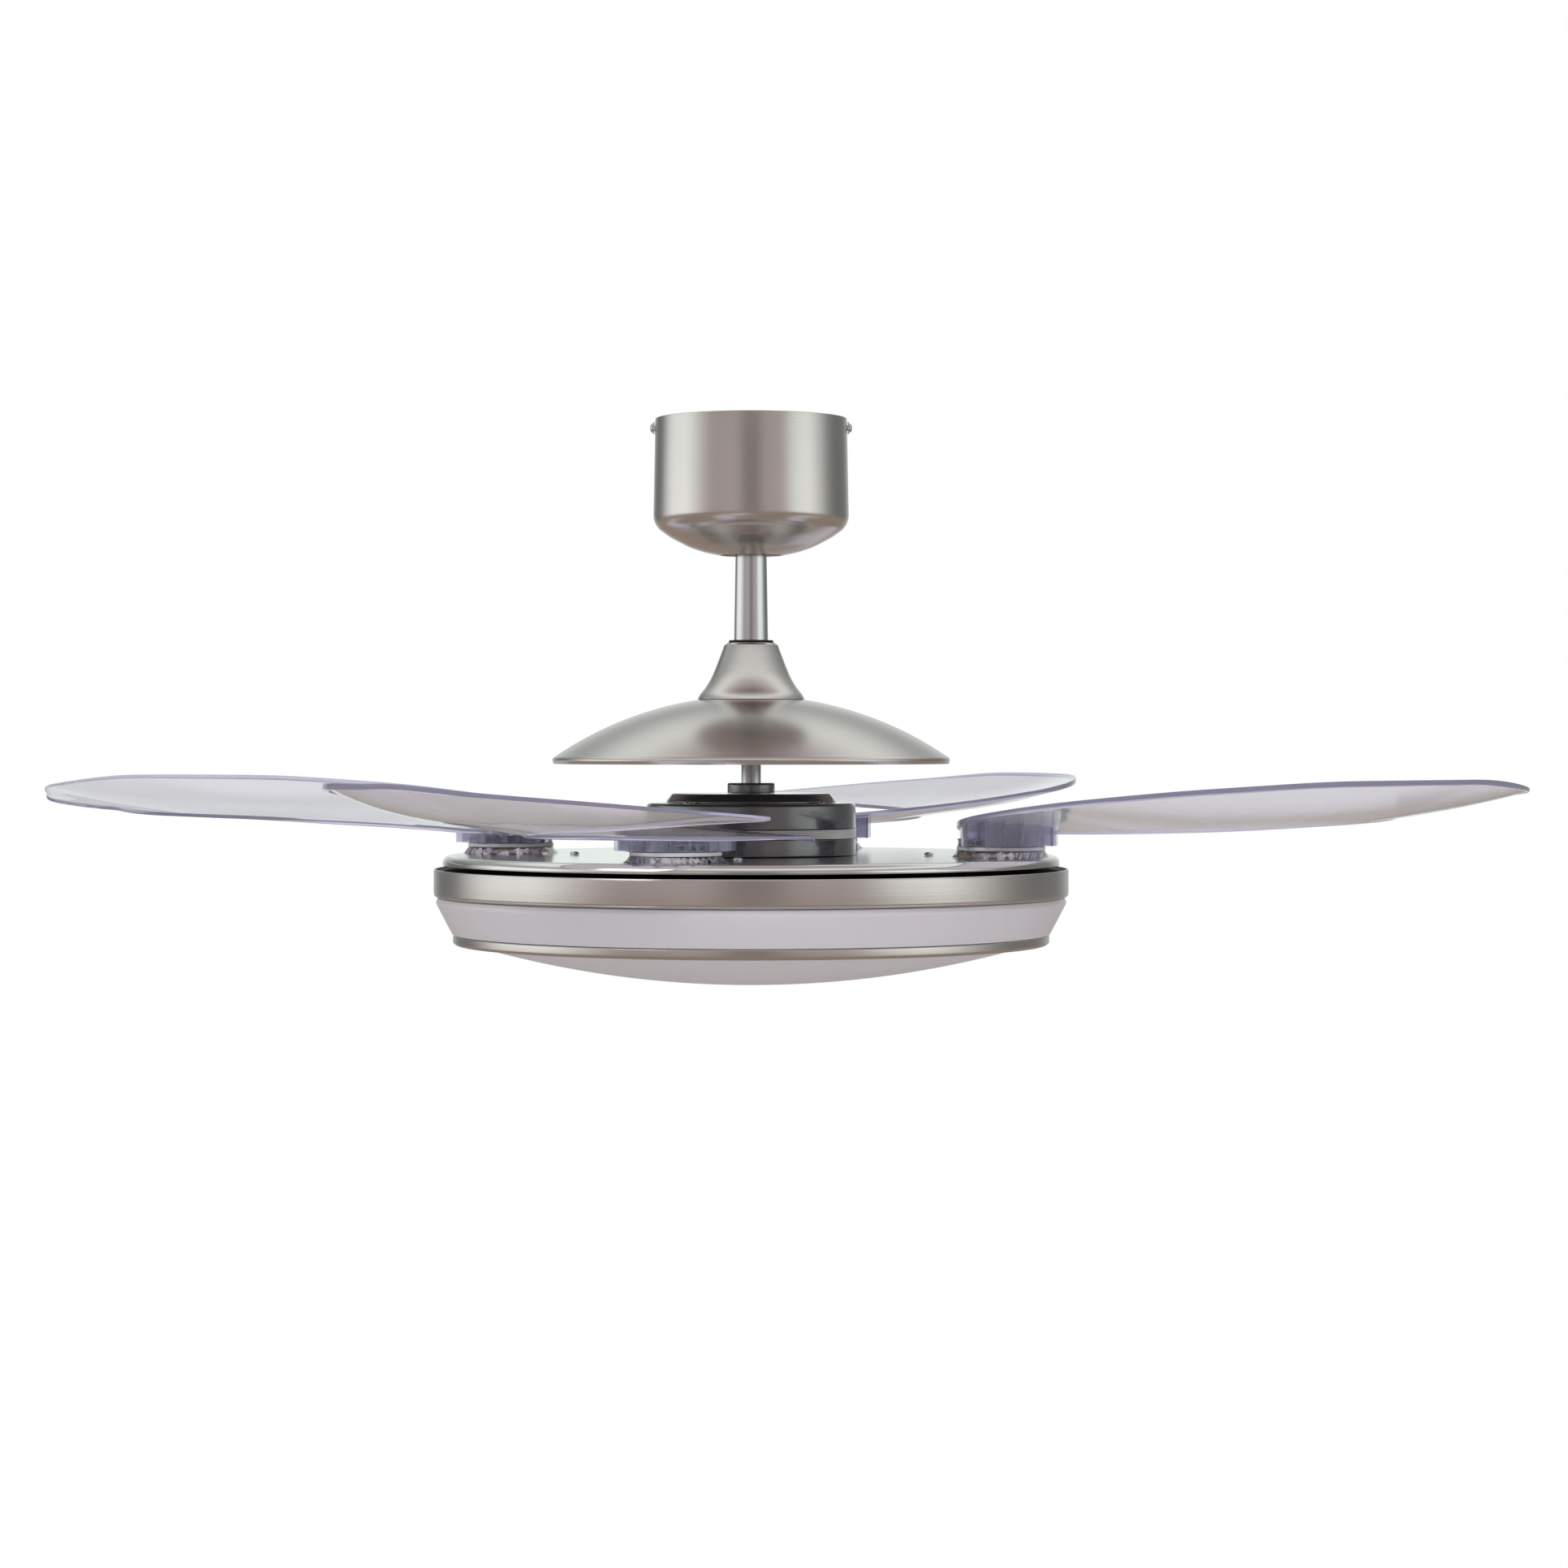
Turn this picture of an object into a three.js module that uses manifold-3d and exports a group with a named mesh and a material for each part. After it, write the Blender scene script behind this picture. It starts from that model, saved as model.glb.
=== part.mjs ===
// Retractable blade ceiling fan with a light, hanging from its ceiling bracket.
// Millimetres, +Z up. The origin is the centre of the bracket's top face, which meets the ceiling.
// Four clear crescent blades stand open; each folds 164 degrees round its own upright pivot, over
// the spinning tray, until its outer edge follows the tray's rim and the blades lie in a spiral stack.

import * as THREE from 'three';
import Module from 'manifold-3d';
import { mergeVertices } from 'three/addons/utils/BufferGeometryUtils.js';

const wasm = await Module();
wasm.setup();

// ---------------------------------------------------------------- driving dimensions

const GAP = 0.3; // between pieces that touch
const RUNNING_GAP = 2; // between pieces that spin past each other
const SHEET = 1.5; // pressed steel covers

// ceiling bracket, ball joint and canopy
const CANOPY_RADIUS = 78;
const CANOPY_RIM_RADIUS = 76.5;
const CANOPY_WALL_HEIGHT = 82;
const CANOPY_HEIGHT = 109.3;
const CANOPY_HOLE_RADIUS = 24.3;
const CANOPY_SCREW_DROP = 6;
const SCREW_RADIUS = 2.2;
const SCREW_HOLE_RADIUS = 2.9;
const SCREW_HEAD_RADIUS = 3.8;
const BRACKET_THICKNESS = 3;
const BRACKET_WIDTH = 40;
const BRACKET_SLOT_SPACING = 88;
const BRACKET_SLOT_LENGTH = 22;
const BRACKET_SLOT_WIDTH = 6;
const BALL_RADIUS = 24;
const BALL_DROP = 60; // ceiling to the centre of the ball
const SEAT_THICKNESS = 2.6;
const SOCKET_WALL = 5;
const PIN_RADIUS = 3;

// downrod, cone, dome and shaft
const ROD_TOP_RADIUS = 12.45;
const ROD_BOTTOM_RADIUS = 13.6;
const ROD_WALL = 2.5;
const ROD_SHOWN = 67.7; // from the canopy to the gasket
const ROD_IN_COUPLER = 16;
const GASKET_RADIUS = 17.8;
const GASKET_THICKNESS = 1.6;
const CONE_TOP_RADIUS = 21;
const CONE_BASE_RADIUS = 42.8;
const CONE_HEIGHT = 45.3;
const DOME_RADIUS = 158.5;
const DOME_SPHERE_RADIUS = 276;
const DOME_LIP = 5.4;
const COUPLER_WALL = 3.2;
const COUPLER_FLANGE_RADIUS = 30;
const SHAFT_RADIUS = 7.8;
const SHAFT_BORE_RADIUS = 5;
const SHAFT_SHOWN = 15.2; // from the dome's lip to the bearing cap

// motor
const CAP_RADIUS = 19;
const CAP_HEIGHT = 8;
const TOP_PLATE_RADIUS = 67.8;
const TOP_PLATE_BEVEL = 4.6;
const TOP_PLATE_HEIGHT = 7.2;
const MOTOR_RADIUS = 83.4;
const MOTOR_BEVEL = 2.4;
const MOTOR_WALL = 4;
const UPPER_HOUSING_HEIGHT = 20;
const CORE_PROUD = 0.6; // bright steel band, beyond the motor's wall
const CORE_HEIGHT = 7.6;
const LOWER_HOUSING_HEIGHT = 13.2;
const STATOR_RADIUS = 58;
const STATOR_SLOTS = 12;
const AIR_GAP = 1.2;
const BEARING_RADIUS = 17;
const BEARING_WIDTH = 9;

// spinning tray, pivots and the gears that hold the blades in step
const TRAY_RADIUS = 245.5;
const TRAY_EDGE_RADIUS = 6;
const TRAY_HEIGHT = 7.6;
const BLADE_COUNT = 4;
const PIVOT_INSET = 42; // from the tray's edge to a blade's pivot
const FIRST_PIVOT_ANGLE = -16;
const BOSS_RADIUS = 37.5;
const BOSS_HEIGHT = 5;
const WASHER_RADIUS = 34.6;
const WASHER_THICKNESS = 3;
const SLEEVE_WALL = 2.4;
const PIVOT_RADIUS = 6;
const PIVOT_HEAD_RADIUS = 9;
const PIVOT_HEAD_HEIGHT = 1.4;
const GEAR_THICKNESS = 4;
const BLADE_GEAR_TEETH = 12;
const RING_GEAR_TEETH = 60;
const GEAR_DEDENDUM = 1.05; // of the teeth, in modules
const GEAR_RIM = 13; // of the ring gear, from its inside to the roots of its teeth
const GUIDE_INSET = 9; // from the ring gear's inside to the middle of a guide
const GUIDE_ANGLE = -4;
const SPRING_WIRE = 1.2;
const SPRING_TURNS = 2;

// clear blades: each is a crescent round a centre that comes over the fan's axis when it is folded
const BLADE_THICKNESS = 3;
const BLADE_EDGE_THICKNESS = 1.6;
const BLADE_DISC_RADIUS = 34;
const BLADE_DISC_THICKNESS = 6;
const RIB_THICKNESS = 1.8;
const SPINE_SHARES = [0.47, 0.53];
const TAIL_END = -27; // degrees round the crescent, counted from the pivot
const RIB_END = 50;
const TIP_START = 134;
const TIP_BEND = 176;
const TIP_END = 208;
// [degrees round the crescent, distance inside the tray's edge, outside the motor or above the seat]
const OUTER_INSET = [[-27, 17.5], [-8, 8.5], [20, 6], [60, 5], [105, 10], [130, 19], [152, 31.5],
  [172, 64], [190, 77.5], [208, 98.5]];
const INNER_CLEARANCE = [[-27, 135.5], [-8, 76.5], [20, 37], [60, 16.5], [105, 15.5], [130, 17],
  [152, 19.5], [172, 23], [190, 28.5], [208, 53.5]];
const OUTER_RISE = [[-27, 9], [0, 15], [25, 21.5], [45, 36], [70, 49], [98, 55], [118, 57],
  [140, 43.5], [160, 35.5], [180, 31], [195, 34], [208, 38.5]];
const INNER_RISE = [[-27, 8.5], [0, 11.5], [25, 14.5], [45, 16.5], [70, 18], [98, 19.5],
  [118, 16.5], [140, 21.5], [160, 30.5], [180, 28], [195, 33], [208, 37]];
const SCOOP = [[-27, 1.5], [30, 1.5], [65, 3.5], [95, 4], [130, 1.5], [208, 1]];
const CROWN = [[-27, 1], [60, 4.5], [100, 5], [140, 22], [175, 18], [208, 0.5]];
const FOOT_RISE = [[-27, 0], [22, 0], [50, 11]];

// light kit
const RING_REVEAL = 2.9; // black gap between the tray's edge and the ring
const RING_OVERHANG = 7; // of the ring beyond the tray
const RING_HEIGHT = 21.8;
const RING_LIP = 7;
const BAND_INSET = 1.6;
const BAND_TAPER = 12.9;
const BAND_HEIGHT = 29.4;
const BAND_SHOULDER = 5.5;
const BAND_WALL = 4;
const LOWER_RING_INSET = 0.7;
const LOWER_RING_HEIGHT = 8.2;
const BOWL_INSET = 11.3;
const BOWL_SPHERE_RADIUS = 790;
const BOWL_WALL = 3;
const LIGHT_BOARD_RADIUS = 190;
const LIGHT_BOARD_THICKNESS = 2;
const NUT_WIDTH = 26;
const NUT_HEIGHT = 7;

// facets round a full turn
const LARGE = 32;
const MEDIUM = 20;
const SMALL = 12;

// ---------------------------------------------------------------- levels, from the ceiling down

const canopyBottom = -CANOPY_HEIGHT;
const gasketTop = canopyBottom - ROD_SHOWN;
const coneTop = gasketTop - GASKET_THICKNESS - GAP;
const coneBottom = coneTop - CONE_HEIGHT;
const sag = (sphere, radius) => sphere - Math.sqrt(sphere * sphere - radius * radius);
const domeApex = coneBottom - GAP + sag(DOME_SPHERE_RADIUS, CONE_BASE_RADIUS);
const domeRim = domeApex - sag(DOME_SPHERE_RADIUS, DOME_RADIUS - SHEET);
const domeBottom = domeRim - DOME_LIP;
const capTop = domeBottom - SHAFT_SHOWN;
const plateTop = capTop - CAP_HEIGHT - GAP;
const upperTop = plateTop - TOP_PLATE_HEIGHT - GAP;
const coreTop = upperTop - UPPER_HOUSING_HEIGHT - GAP;
const lowerTop = coreTop - CORE_HEIGHT - GAP;
const trayTop = lowerTop - LOWER_HOUSING_HEIGHT - GAP;
const trayBottom = trayTop - TRAY_HEIGHT;
const washerBottom = trayTop + BOSS_HEIGHT + GAP;
const bladeSeat = washerBottom + WASHER_THICKNESS + GAP;
const gearTop = trayTop - SHEET - RUNNING_GAP - GAP;
const gearBottom = gearTop - GEAR_THICKNESS;
const panTop = gearBottom - 2 * GAP - SHEET - RUNNING_GAP;
const ringTop = trayBottom - RING_REVEAL;
const ringBottom = ringTop - RING_HEIGHT;
const bandTop = ringBottom - GAP;
const bandBottom = bandTop - BAND_HEIGHT;
const lowerRingTop = bandBottom - GAP;
const lowerRingBottom = lowerRingTop - LOWER_RING_HEIGHT;
const shaftBottom = panTop - SHEET - 2 * GAP - NUT_HEIGHT - RUNNING_GAP;

// ---------------------------------------------------------------- materials

const finish = (color, roughness, metalness, extra = {}) =>
  new THREE.MeshStandardMaterial({ color, roughness, metalness, ...extra });

const nickel = finish(0xb0a8a6, 0.32, 1);
const steel = finish(0xc4c4c6, 0.25, 1);
const zinc = finish(0x9a9a98, 0.45, 1);
const blackPlastic = finish(0x2b2b2f, 0.25, 0);
const blackPaint = finish(0x1a1a1c, 0.6, 0);
const rubber = finish(0x161616, 0.8, 0);
const whiteNylon = finish(0xe8e8ec, 0.45, 0);
const greyNylon = finish(0x8c8c90, 0.5, 0);
const brass = finish(0xb08a4a, 0.35, 1);
const copper = finish(0xb4683c, 0.5, 0.8);
const clearPlastic = finish(0xdcdaf0, 0.08, 0, { transparent: true, opacity: 0.35 });
const frostedGlass = finish(0xece9f0, 0.5, 0);
const boardWhite = finish(0xf2f2f0, 0.6, 0);

// ---------------------------------------------------------------- geometry tools

const radians = (degrees) => THREE.MathUtils.degToRad(degrees);

// Keeps only the corners and the triangles that enclose some area, turned to face outwards.
function closed(geometry) {
  const bare = geometry.clone();
  bare.deleteAttribute('normal');
  bare.deleteAttribute('uv');
  const merged = mergeVertices(bare, 1e-4);
  const index = Array.from(merged.index.array);
  const kept = [];
  let volume = 0;
  const [a, b, c] = [new THREE.Vector3(), new THREE.Vector3(), new THREE.Vector3()];
  for (let i = 0; i < index.length; i += 3) {
    const [p, q, r] = index.slice(i, i + 3);
    if (p === q || q === r || r === p) continue;
    kept.push([p, q, r]);
    a.fromBufferAttribute(merged.attributes.position, p);
    b.fromBufferAttribute(merged.attributes.position, q);
    c.fromBufferAttribute(merged.attributes.position, r);
    volume += a.dot(b.cross(c));
  }
  const facing = volume < 0 ? kept.map(([p, q, r]) => [p, r, q]) : kept;
  merged.setIndex(facing.flat());
  return merged;
}

function solid(geometry) {
  const mesh = closed(geometry);
  const vertProperties = new Float32Array(mesh.attributes.position.array);
  const triVerts = new Uint32Array(mesh.index.array);
  return new wasm.Manifold(new wasm.Mesh({ numProp: 3, vertProperties, triVerts }));
}

function surfaceOf(body) {
  const mesh = body.getMesh();
  const geometry = new THREE.BufferGeometry();
  geometry.setAttribute('position', new THREE.BufferAttribute(new Float32Array(mesh.vertProperties), 3));
  geometry.setIndex(Array.from(mesh.triVerts));
  return geometry;
}

const join = (first, ...others) => others.reduce((whole, piece) => whole.add(piece), first);
const cut = (first, ...others) => others.reduce((whole, piece) => whole.subtract(piece), first);

// Turns a closed profile of [radius, height] points round the Z axis.
function turned(profile, facets = MEDIUM) {
  const points = profile.map(([radius, height]) => new THREE.Vector2(radius, height));
  const onAxis = profile[0][0] === 0 && profile[profile.length - 1][0] === 0;
  if (!onAxis) points.push(points[0].clone());
  return new THREE.LatheGeometry(points, facets).rotateX(Math.PI / 2);
}

const tube = (inner, outer, bottom, top, facets = SMALL) =>
  turned([[inner, bottom], [outer, bottom], [outer, top], [inner, top]], facets);

const rod = (radius, bottom, top, facets = SMALL) =>
  turned([[0, bottom], [radius, bottom], [radius, top], [0, top]], facets);

const block = (width, depth, height, x, y, z) => new THREE.BoxGeometry(width, depth, height).translate(x, y, z);

const crossPin = (radius, length, z) =>
  new THREE.CylinderGeometry(radius, radius, length, SMALL / 2).rotateZ(Math.PI / 2).translate(0, 0, z);

const plate = (shape, bottom, thickness, facets = SMALL) =>
  new THREE.ExtrudeGeometry(shape, { depth: thickness, bevelEnabled: false, curveSegments: facets / 2 })
    .translate(0, 0, bottom);

const evenly = (from, to, steps) => Array.from({ length: steps + 1 }, (_, i) => from + ((to - from) * i) / steps);

const arcPoints = (radius, from, to, steps, height = (x) => x) =>
  Array.from({ length: steps + 1 }, (_, i) => {
    const angle = from + ((to - from) * i) / steps;
    return [radius * Math.sin(angle), height(radius * Math.cos(angle))];
  });

function named(name, geometry, material) {
  const mesh = new THREE.Mesh(closed(geometry), material);
  mesh.name = name;
  return mesh;
}

// A smooth value that passes through [position, value] knots and never overshoots between them.
function along(knots, position) {
  const last = knots.length - 1;
  const slope = (i) => (knots[i + 1][1] - knots[i][1]) / (knots[i + 1][0] - knots[i][0]);
  const tangent = (i) => {
    if (i === 0 || i === last) return slope(Math.min(i, last - 1));
    const [before, after] = [slope(i - 1), slope(i)];
    return before * after <= 0 ? 0 : (2 * before * after) / (before + after);
  };
  const found = knots.findIndex(([at]) => at > position);
  const i = found < 0 ? last - 1 : Math.max(found - 1, 0);
  const span = knots[i + 1][0] - knots[i][0];
  const t = (position - knots[i][0]) / span;
  const rest = 1 - t;
  return (
    knots[i][1] * (1 + 2 * t) * rest * rest +
    tangent(i) * span * t * rest * rest +
    knots[i + 1][1] * t * t * (3 - 2 * t) -
    tangent(i + 1) * span * t * t * rest
  );
}

// Closes a grid of points, rows along and columns across, with an upper and a lower sheet.
function loft(rows, upper, lower) {
  const columns = upper[0].length;
  const vertices = [];
  for (const sheet of [upper, lower]) sheet.flat().forEach((point) => vertices.push(...point));
  const at = (sheet, i, j) => (sheet * rows + i) * columns + j;
  const index = [];
  const quad = (a, b, c, d) => index.push(a, b, c, a, c, d);
  for (let i = 0; i < rows - 1; i += 1) {
    for (let j = 0; j < columns - 1; j += 1) {
      quad(at(0, i, j), at(0, i + 1, j), at(0, i + 1, j + 1), at(0, i, j + 1));
      quad(at(1, i, j), at(1, i, j + 1), at(1, i + 1, j + 1), at(1, i + 1, j));
    }
    quad(at(0, i, 0), at(1, i, 0), at(1, i + 1, 0), at(0, i + 1, 0));
    quad(at(0, i, columns - 1), at(0, i + 1, columns - 1), at(1, i + 1, columns - 1), at(1, i, columns - 1));
  }
  for (let j = 0; j < columns - 1; j += 1) {
    quad(at(0, 0, j), at(0, 0, j + 1), at(1, 0, j + 1), at(1, 0, j));
    quad(at(0, rows - 1, j), at(1, rows - 1, j), at(1, rows - 1, j + 1), at(0, rows - 1, j + 1));
  }
  const geometry = new THREE.BufferGeometry();
  geometry.setAttribute('position', new THREE.Float32BufferAttribute(vertices, 3));
  geometry.setIndex(index);
  return geometry;
}

// ---------------------------------------------------------------- ceiling bracket and canopy

const seatRadius = BALL_RADIUS + GAP;
const socketRadius = seatRadius + SEAT_THICKNESS + GAP;
const SEAT_TOP_ANGLE = 98;
const SEAT_BOTTOM_ANGLE = 136;

// Zone of a sphere round the ball's centre, between two angles from straight up.
const ballZone = (radius, from, to, steps = 3) =>
  arcPoints(radius, radians(from), radians(to), steps, (z) => z - BALL_DROP);

function hangerBracket() {
  const earWidth = BRACKET_WIDTH / 2;
  const canopyInside = (CANOPY_RIM_RADIUS - SHEET - GAP) * Math.cos(Math.PI / LARGE);
  const earInset = Math.sqrt(canopyInside ** 2 - (earWidth / 2) ** 2) - BRACKET_THICKNESS / 2;
  const topPlate = block(2 * earInset + BRACKET_THICKNESS, earWidth, BRACKET_THICKNESS, 0, 0, -BRACKET_THICKNESS / 2);
  const earHeight = 2 * CANOPY_SCREW_DROP;
  const ears = [-1, 1].map((side) =>
    solid(block(BRACKET_THICKNESS, earWidth, earHeight, side * earInset, 0, -earHeight / 2)));
  const zone = ballZone(socketRadius, SEAT_TOP_ANGLE, SEAT_BOTTOM_ANGLE);
  const [, top] = zone[0];
  const [mouth, bottom] = zone[zone.length - 1];
  const outer = socketRadius + SOCKET_WALL;
  const socket = solid(turned([...zone, [mouth + SOCKET_WALL, bottom], [outer, bottom + SOCKET_WALL], [outer, top]]));
  const legOffset = outer - BRACKET_THICKNESS / 2;
  const legs = [-1, 1].map((side) =>
    solid(block(BRACKET_WIDTH * 0.6, BRACKET_THICKNESS, -top + SOCKET_WALL, 0, side * legOffset, (top - SOCKET_WALL) / 2)));
  const widePlate = solid(block(BRACKET_WIDTH, 2 * outer, BRACKET_THICKNESS, 0, 0, -BRACKET_THICKNESS / 2));
  const slots = [-1, 1].map((side) =>
    solid(block(BRACKET_SLOT_LENGTH, BRACKET_SLOT_WIDTH, 3 * BRACKET_THICKNESS, (side * BRACKET_SLOT_SPACING) / 2, 0, 0)));
  const screwHoles = solid(crossPin(SCREW_HOLE_RADIUS, 3 * CANOPY_RADIUS, -CANOPY_SCREW_DROP - SHEET));
  return surfaceOf(cut(join(solid(topPlate), widePlate, ...ears, socket, ...legs), ...slots, screwHoles));
}

function ballSeat() {
  const inner = ballZone(seatRadius, SEAT_TOP_ANGLE + 2, SEAT_BOTTOM_ANGLE - 3);
  const outer = ballZone(seatRadius + SEAT_THICKNESS, SEAT_TOP_ANGLE + 2, SEAT_BOTTOM_ANGLE - 3);
  return turned([...inner, ...outer.reverse()]);
}

function hangerBall() {
  const bore = ROD_TOP_RADIUS + GAP;
  const flat = Math.asin(bore / BALL_RADIUS);
  const zone = arcPoints(BALL_RADIUS, flat, Math.PI - flat, 7, (z) => z - BALL_DROP);
  return surfaceOf(cut(solid(turned(zone)), solid(crossPin(PIN_RADIUS + GAP, 3 * BALL_RADIUS, -BALL_DROP))));
}

function canopy() {
  const shoulder = CANOPY_HEIGHT - CANOPY_WALL_HEIGHT;
  const dish = [[0.94, 0.32], [0.82, 0.52], [0.6, 0.78]];
  const outside = [
    [CANOPY_RIM_RADIUS, -GAP],
    [CANOPY_RADIUS, -CANOPY_WALL_HEIGHT],
    ...dish.map(([share, drop]) => [CANOPY_RADIUS * share, -CANOPY_WALL_HEIGHT - shoulder * drop]),
    [CANOPY_HOLE_RADIUS, canopyBottom],
  ];
  const inside = outside.map(([radius, z]) => [radius - (z > -CANOPY_WALL_HEIGHT - 1 ? SHEET : SHEET * 0.7), z + SHEET * 1.1]);
  inside[0][1] = -GAP;
  inside[inside.length - 1][0] = CANOPY_HOLE_RADIUS;
  const shell = solid(turned([...outside, ...inside.reverse()], LARGE));
  return surfaceOf(cut(shell, solid(crossPin(SCREW_HOLE_RADIUS, 3 * CANOPY_RADIUS, -CANOPY_SCREW_DROP - SHEET))));
}

// Screw with a domed head, its shank along +Z from the underside of the head at z = 0.
function panScrew(shankLength) {
  return turned([
    [0, -shankLength],
    [SCREW_RADIUS, -shankLength],
    [SCREW_RADIUS, 0],
    [SCREW_HEAD_RADIUS, 0],
    [SCREW_HEAD_RADIUS * 0.8, SCREW_HEAD_RADIUS * 0.45],
    [0, SCREW_HEAD_RADIUS * 0.6],
  ], SMALL / 2);
}

function starWasher(thickness) {
  const points = 10;
  const outline = Array.from({ length: 2 * points }, (_, i) => {
    const radius = SCREW_HEAD_RADIUS + (i % 2 ? 0.2 : 1.2);
    const angle = (Math.PI * i) / points;
    return new THREE.Vector2(radius * Math.cos(angle), radius * Math.sin(angle));
  });
  const shape = new THREE.Shape(outline);
  shape.holes.push(new THREE.Path().absarc(0, 0, SCREW_RADIUS + GAP, 0, 2 * Math.PI, true));
  return new THREE.ExtrudeGeometry(shape, { depth: thickness, bevelEnabled: false, curveSegments: 4 });
}

// ---------------------------------------------------------------- downrod, covers and shaft

const couplerTop = coneTop - SHEET - GAP - RUNNING_GAP;
const rodBottom = couplerTop - ROD_IN_COUPLER;
const rodTop = -BALL_DROP + BALL_RADIUS * 0.9;
const couplerPinZ = (couplerTop + rodBottom) / 2;

function downrod() {
  const outside = [[ROD_BOTTOM_RADIUS, rodBottom], [ROD_BOTTOM_RADIUS, gasketTop], [ROD_TOP_RADIUS, canopyBottom],
    [ROD_TOP_RADIUS, rodTop]];
  const inside = [[ROD_TOP_RADIUS - ROD_WALL, rodTop], [ROD_TOP_RADIUS - ROD_WALL, rodBottom]];
  const holes = [-BALL_DROP, couplerPinZ].map((z) => solid(crossPin(PIN_RADIUS + GAP, 4 * ROD_BOTTOM_RADIUS, z)));
  return surfaceOf(cut(solid(turned([...outside, ...inside], MEDIUM)), ...holes));
}

function coneCover() {
  const steps = 6;
  const outside = Array.from({ length: steps + 1 }, (_, i) => {
    const t = i / steps;
    const flare = 0.52 * t + 0.48 * t * t * t;
    return [CONE_TOP_RADIUS + (CONE_BASE_RADIUS - CONE_TOP_RADIUS) * flare, coneTop - CONE_HEIGHT * t];
  });
  const inside = outside.map(([radius, z], i) => [radius - SHEET, i === 0 ? z - SHEET : z]);
  const mouth = ROD_BOTTOM_RADIUS + GAP;
  return turned([...outside, ...inside.reverse(), [mouth, coneTop - SHEET], [mouth, coneTop]], MEDIUM);
}

const couplerRadius = ROD_BOTTOM_RADIUS + GAP + COUPLER_WALL;

function domeCover() {
  const hole = couplerRadius + GAP;
  const crown = (radius, thickness) => domeApex - thickness - sag(DOME_SPHERE_RADIUS, radius);
  const radii = [hole, ...evenly(COUPLER_FLANGE_RADIUS, DOME_RADIUS - SHEET, 3)];
  const outside = radii.map((radius) => [radius, crown(radius, 0)]);
  const inside = radii.map((radius) => [radius, crown(radius, SHEET)]);
  const lip = [[DOME_RADIUS, domeRim - DOME_LIP * 0.4], [DOME_RADIUS - SHEET * 0.6, domeBottom],
    [DOME_RADIUS - SHEET * 2, domeBottom]];
  return turned([...outside, ...lip, ...inside.reverse()], LARGE);
}

function shaftCoupler() {
  const flangeTop = domeApex - SHEET - GAP - sag(DOME_SPHERE_RADIUS, COUPLER_FLANGE_RADIUS);
  const flangeBottom = flangeTop - 2 * SHEET;
  const boreTop = ROD_BOTTOM_RADIUS + GAP;
  const boreBottom = SHAFT_RADIUS + GAP;
  const shelf = rodBottom - GAP;
  const profile = [[boreTop, couplerTop], [couplerRadius, couplerTop], [couplerRadius, flangeTop],
    [COUPLER_FLANGE_RADIUS, flangeTop], [COUPLER_FLANGE_RADIUS, flangeBottom], [boreBottom, flangeBottom],
    [boreBottom, shelf], [boreTop, shelf]];
  return surfaceOf(cut(solid(turned(profile)), solid(crossPin(PIN_RADIUS + GAP, 3 * couplerRadius, couplerPinZ))));
}

const shaftTop = rodBottom - 2 * GAP - SHEET;
const shaftFlangeRadius = 1.7 * SHAFT_RADIUS;

function motorShaft() {
  const flangeBottom = panTop + GAP;
  return turned([[SHAFT_BORE_RADIUS, shaftBottom], [SHAFT_RADIUS, shaftBottom], [SHAFT_RADIUS, flangeBottom],
    [shaftFlangeRadius, flangeBottom], [shaftFlangeRadius, flangeBottom + SHEET], [SHAFT_RADIUS, flangeBottom + SHEET],
    [SHAFT_RADIUS, shaftTop], [SHAFT_BORE_RADIUS, shaftTop]]);
}

// ---------------------------------------------------------------- motor

const bearingBore = BEARING_RADIUS + GAP;
const hubRadius = bearingBore + MOTOR_WALL;

function bearingCap() {
  const bevel = 1.5;
  return turned([[SHAFT_RADIUS + 1, plateTop + GAP], [CAP_RADIUS, plateTop + GAP], [CAP_RADIUS, capTop - bevel],
    [CAP_RADIUS - bevel, capTop], [SHAFT_RADIUS + 1, capTop]]);
}

function motorTopPlate() {
  const bottom = plateTop - TOP_PLATE_HEIGHT;
  return turned([[bearingBore, bottom], [TOP_PLATE_RADIUS, bottom], [TOP_PLATE_RADIUS, bottom + 1],
    [TOP_PLATE_RADIUS - TOP_PLATE_BEVEL, plateTop], [bearingBore, plateTop]]);
}

function upperHousing() {
  const bottom = upperTop - UPPER_HOUSING_HEIGHT;
  const inner = MOTOR_RADIUS - MOTOR_WALL;
  return turned([[bearingBore, upperTop], [MOTOR_RADIUS - MOTOR_BEVEL, upperTop], [MOTOR_RADIUS, upperTop - MOTOR_BEVEL],
    [MOTOR_RADIUS, bottom], [inner, bottom], [inner, upperTop - MOTOR_WALL], [hubRadius, upperTop - MOTOR_WALL],
    [hubRadius, upperTop - 2 * MOTOR_WALL], [bearingBore, upperTop - 2 * MOTOR_WALL]]);
}

function lowerHousing() {
  const bottom = lowerTop - LOWER_HOUSING_HEIGHT;
  const inner = MOTOR_RADIUS - MOTOR_WALL;
  return turned([[inner, lowerTop], [MOTOR_RADIUS, lowerTop], [MOTOR_RADIUS, bottom], [bearingBore, bottom],
    [bearingBore, bottom + BEARING_WIDTH], [hubRadius, bottom + BEARING_WIDTH], [hubRadius, bottom + MOTOR_WALL],
    [inner, bottom + MOTOR_WALL]]);
}

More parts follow.
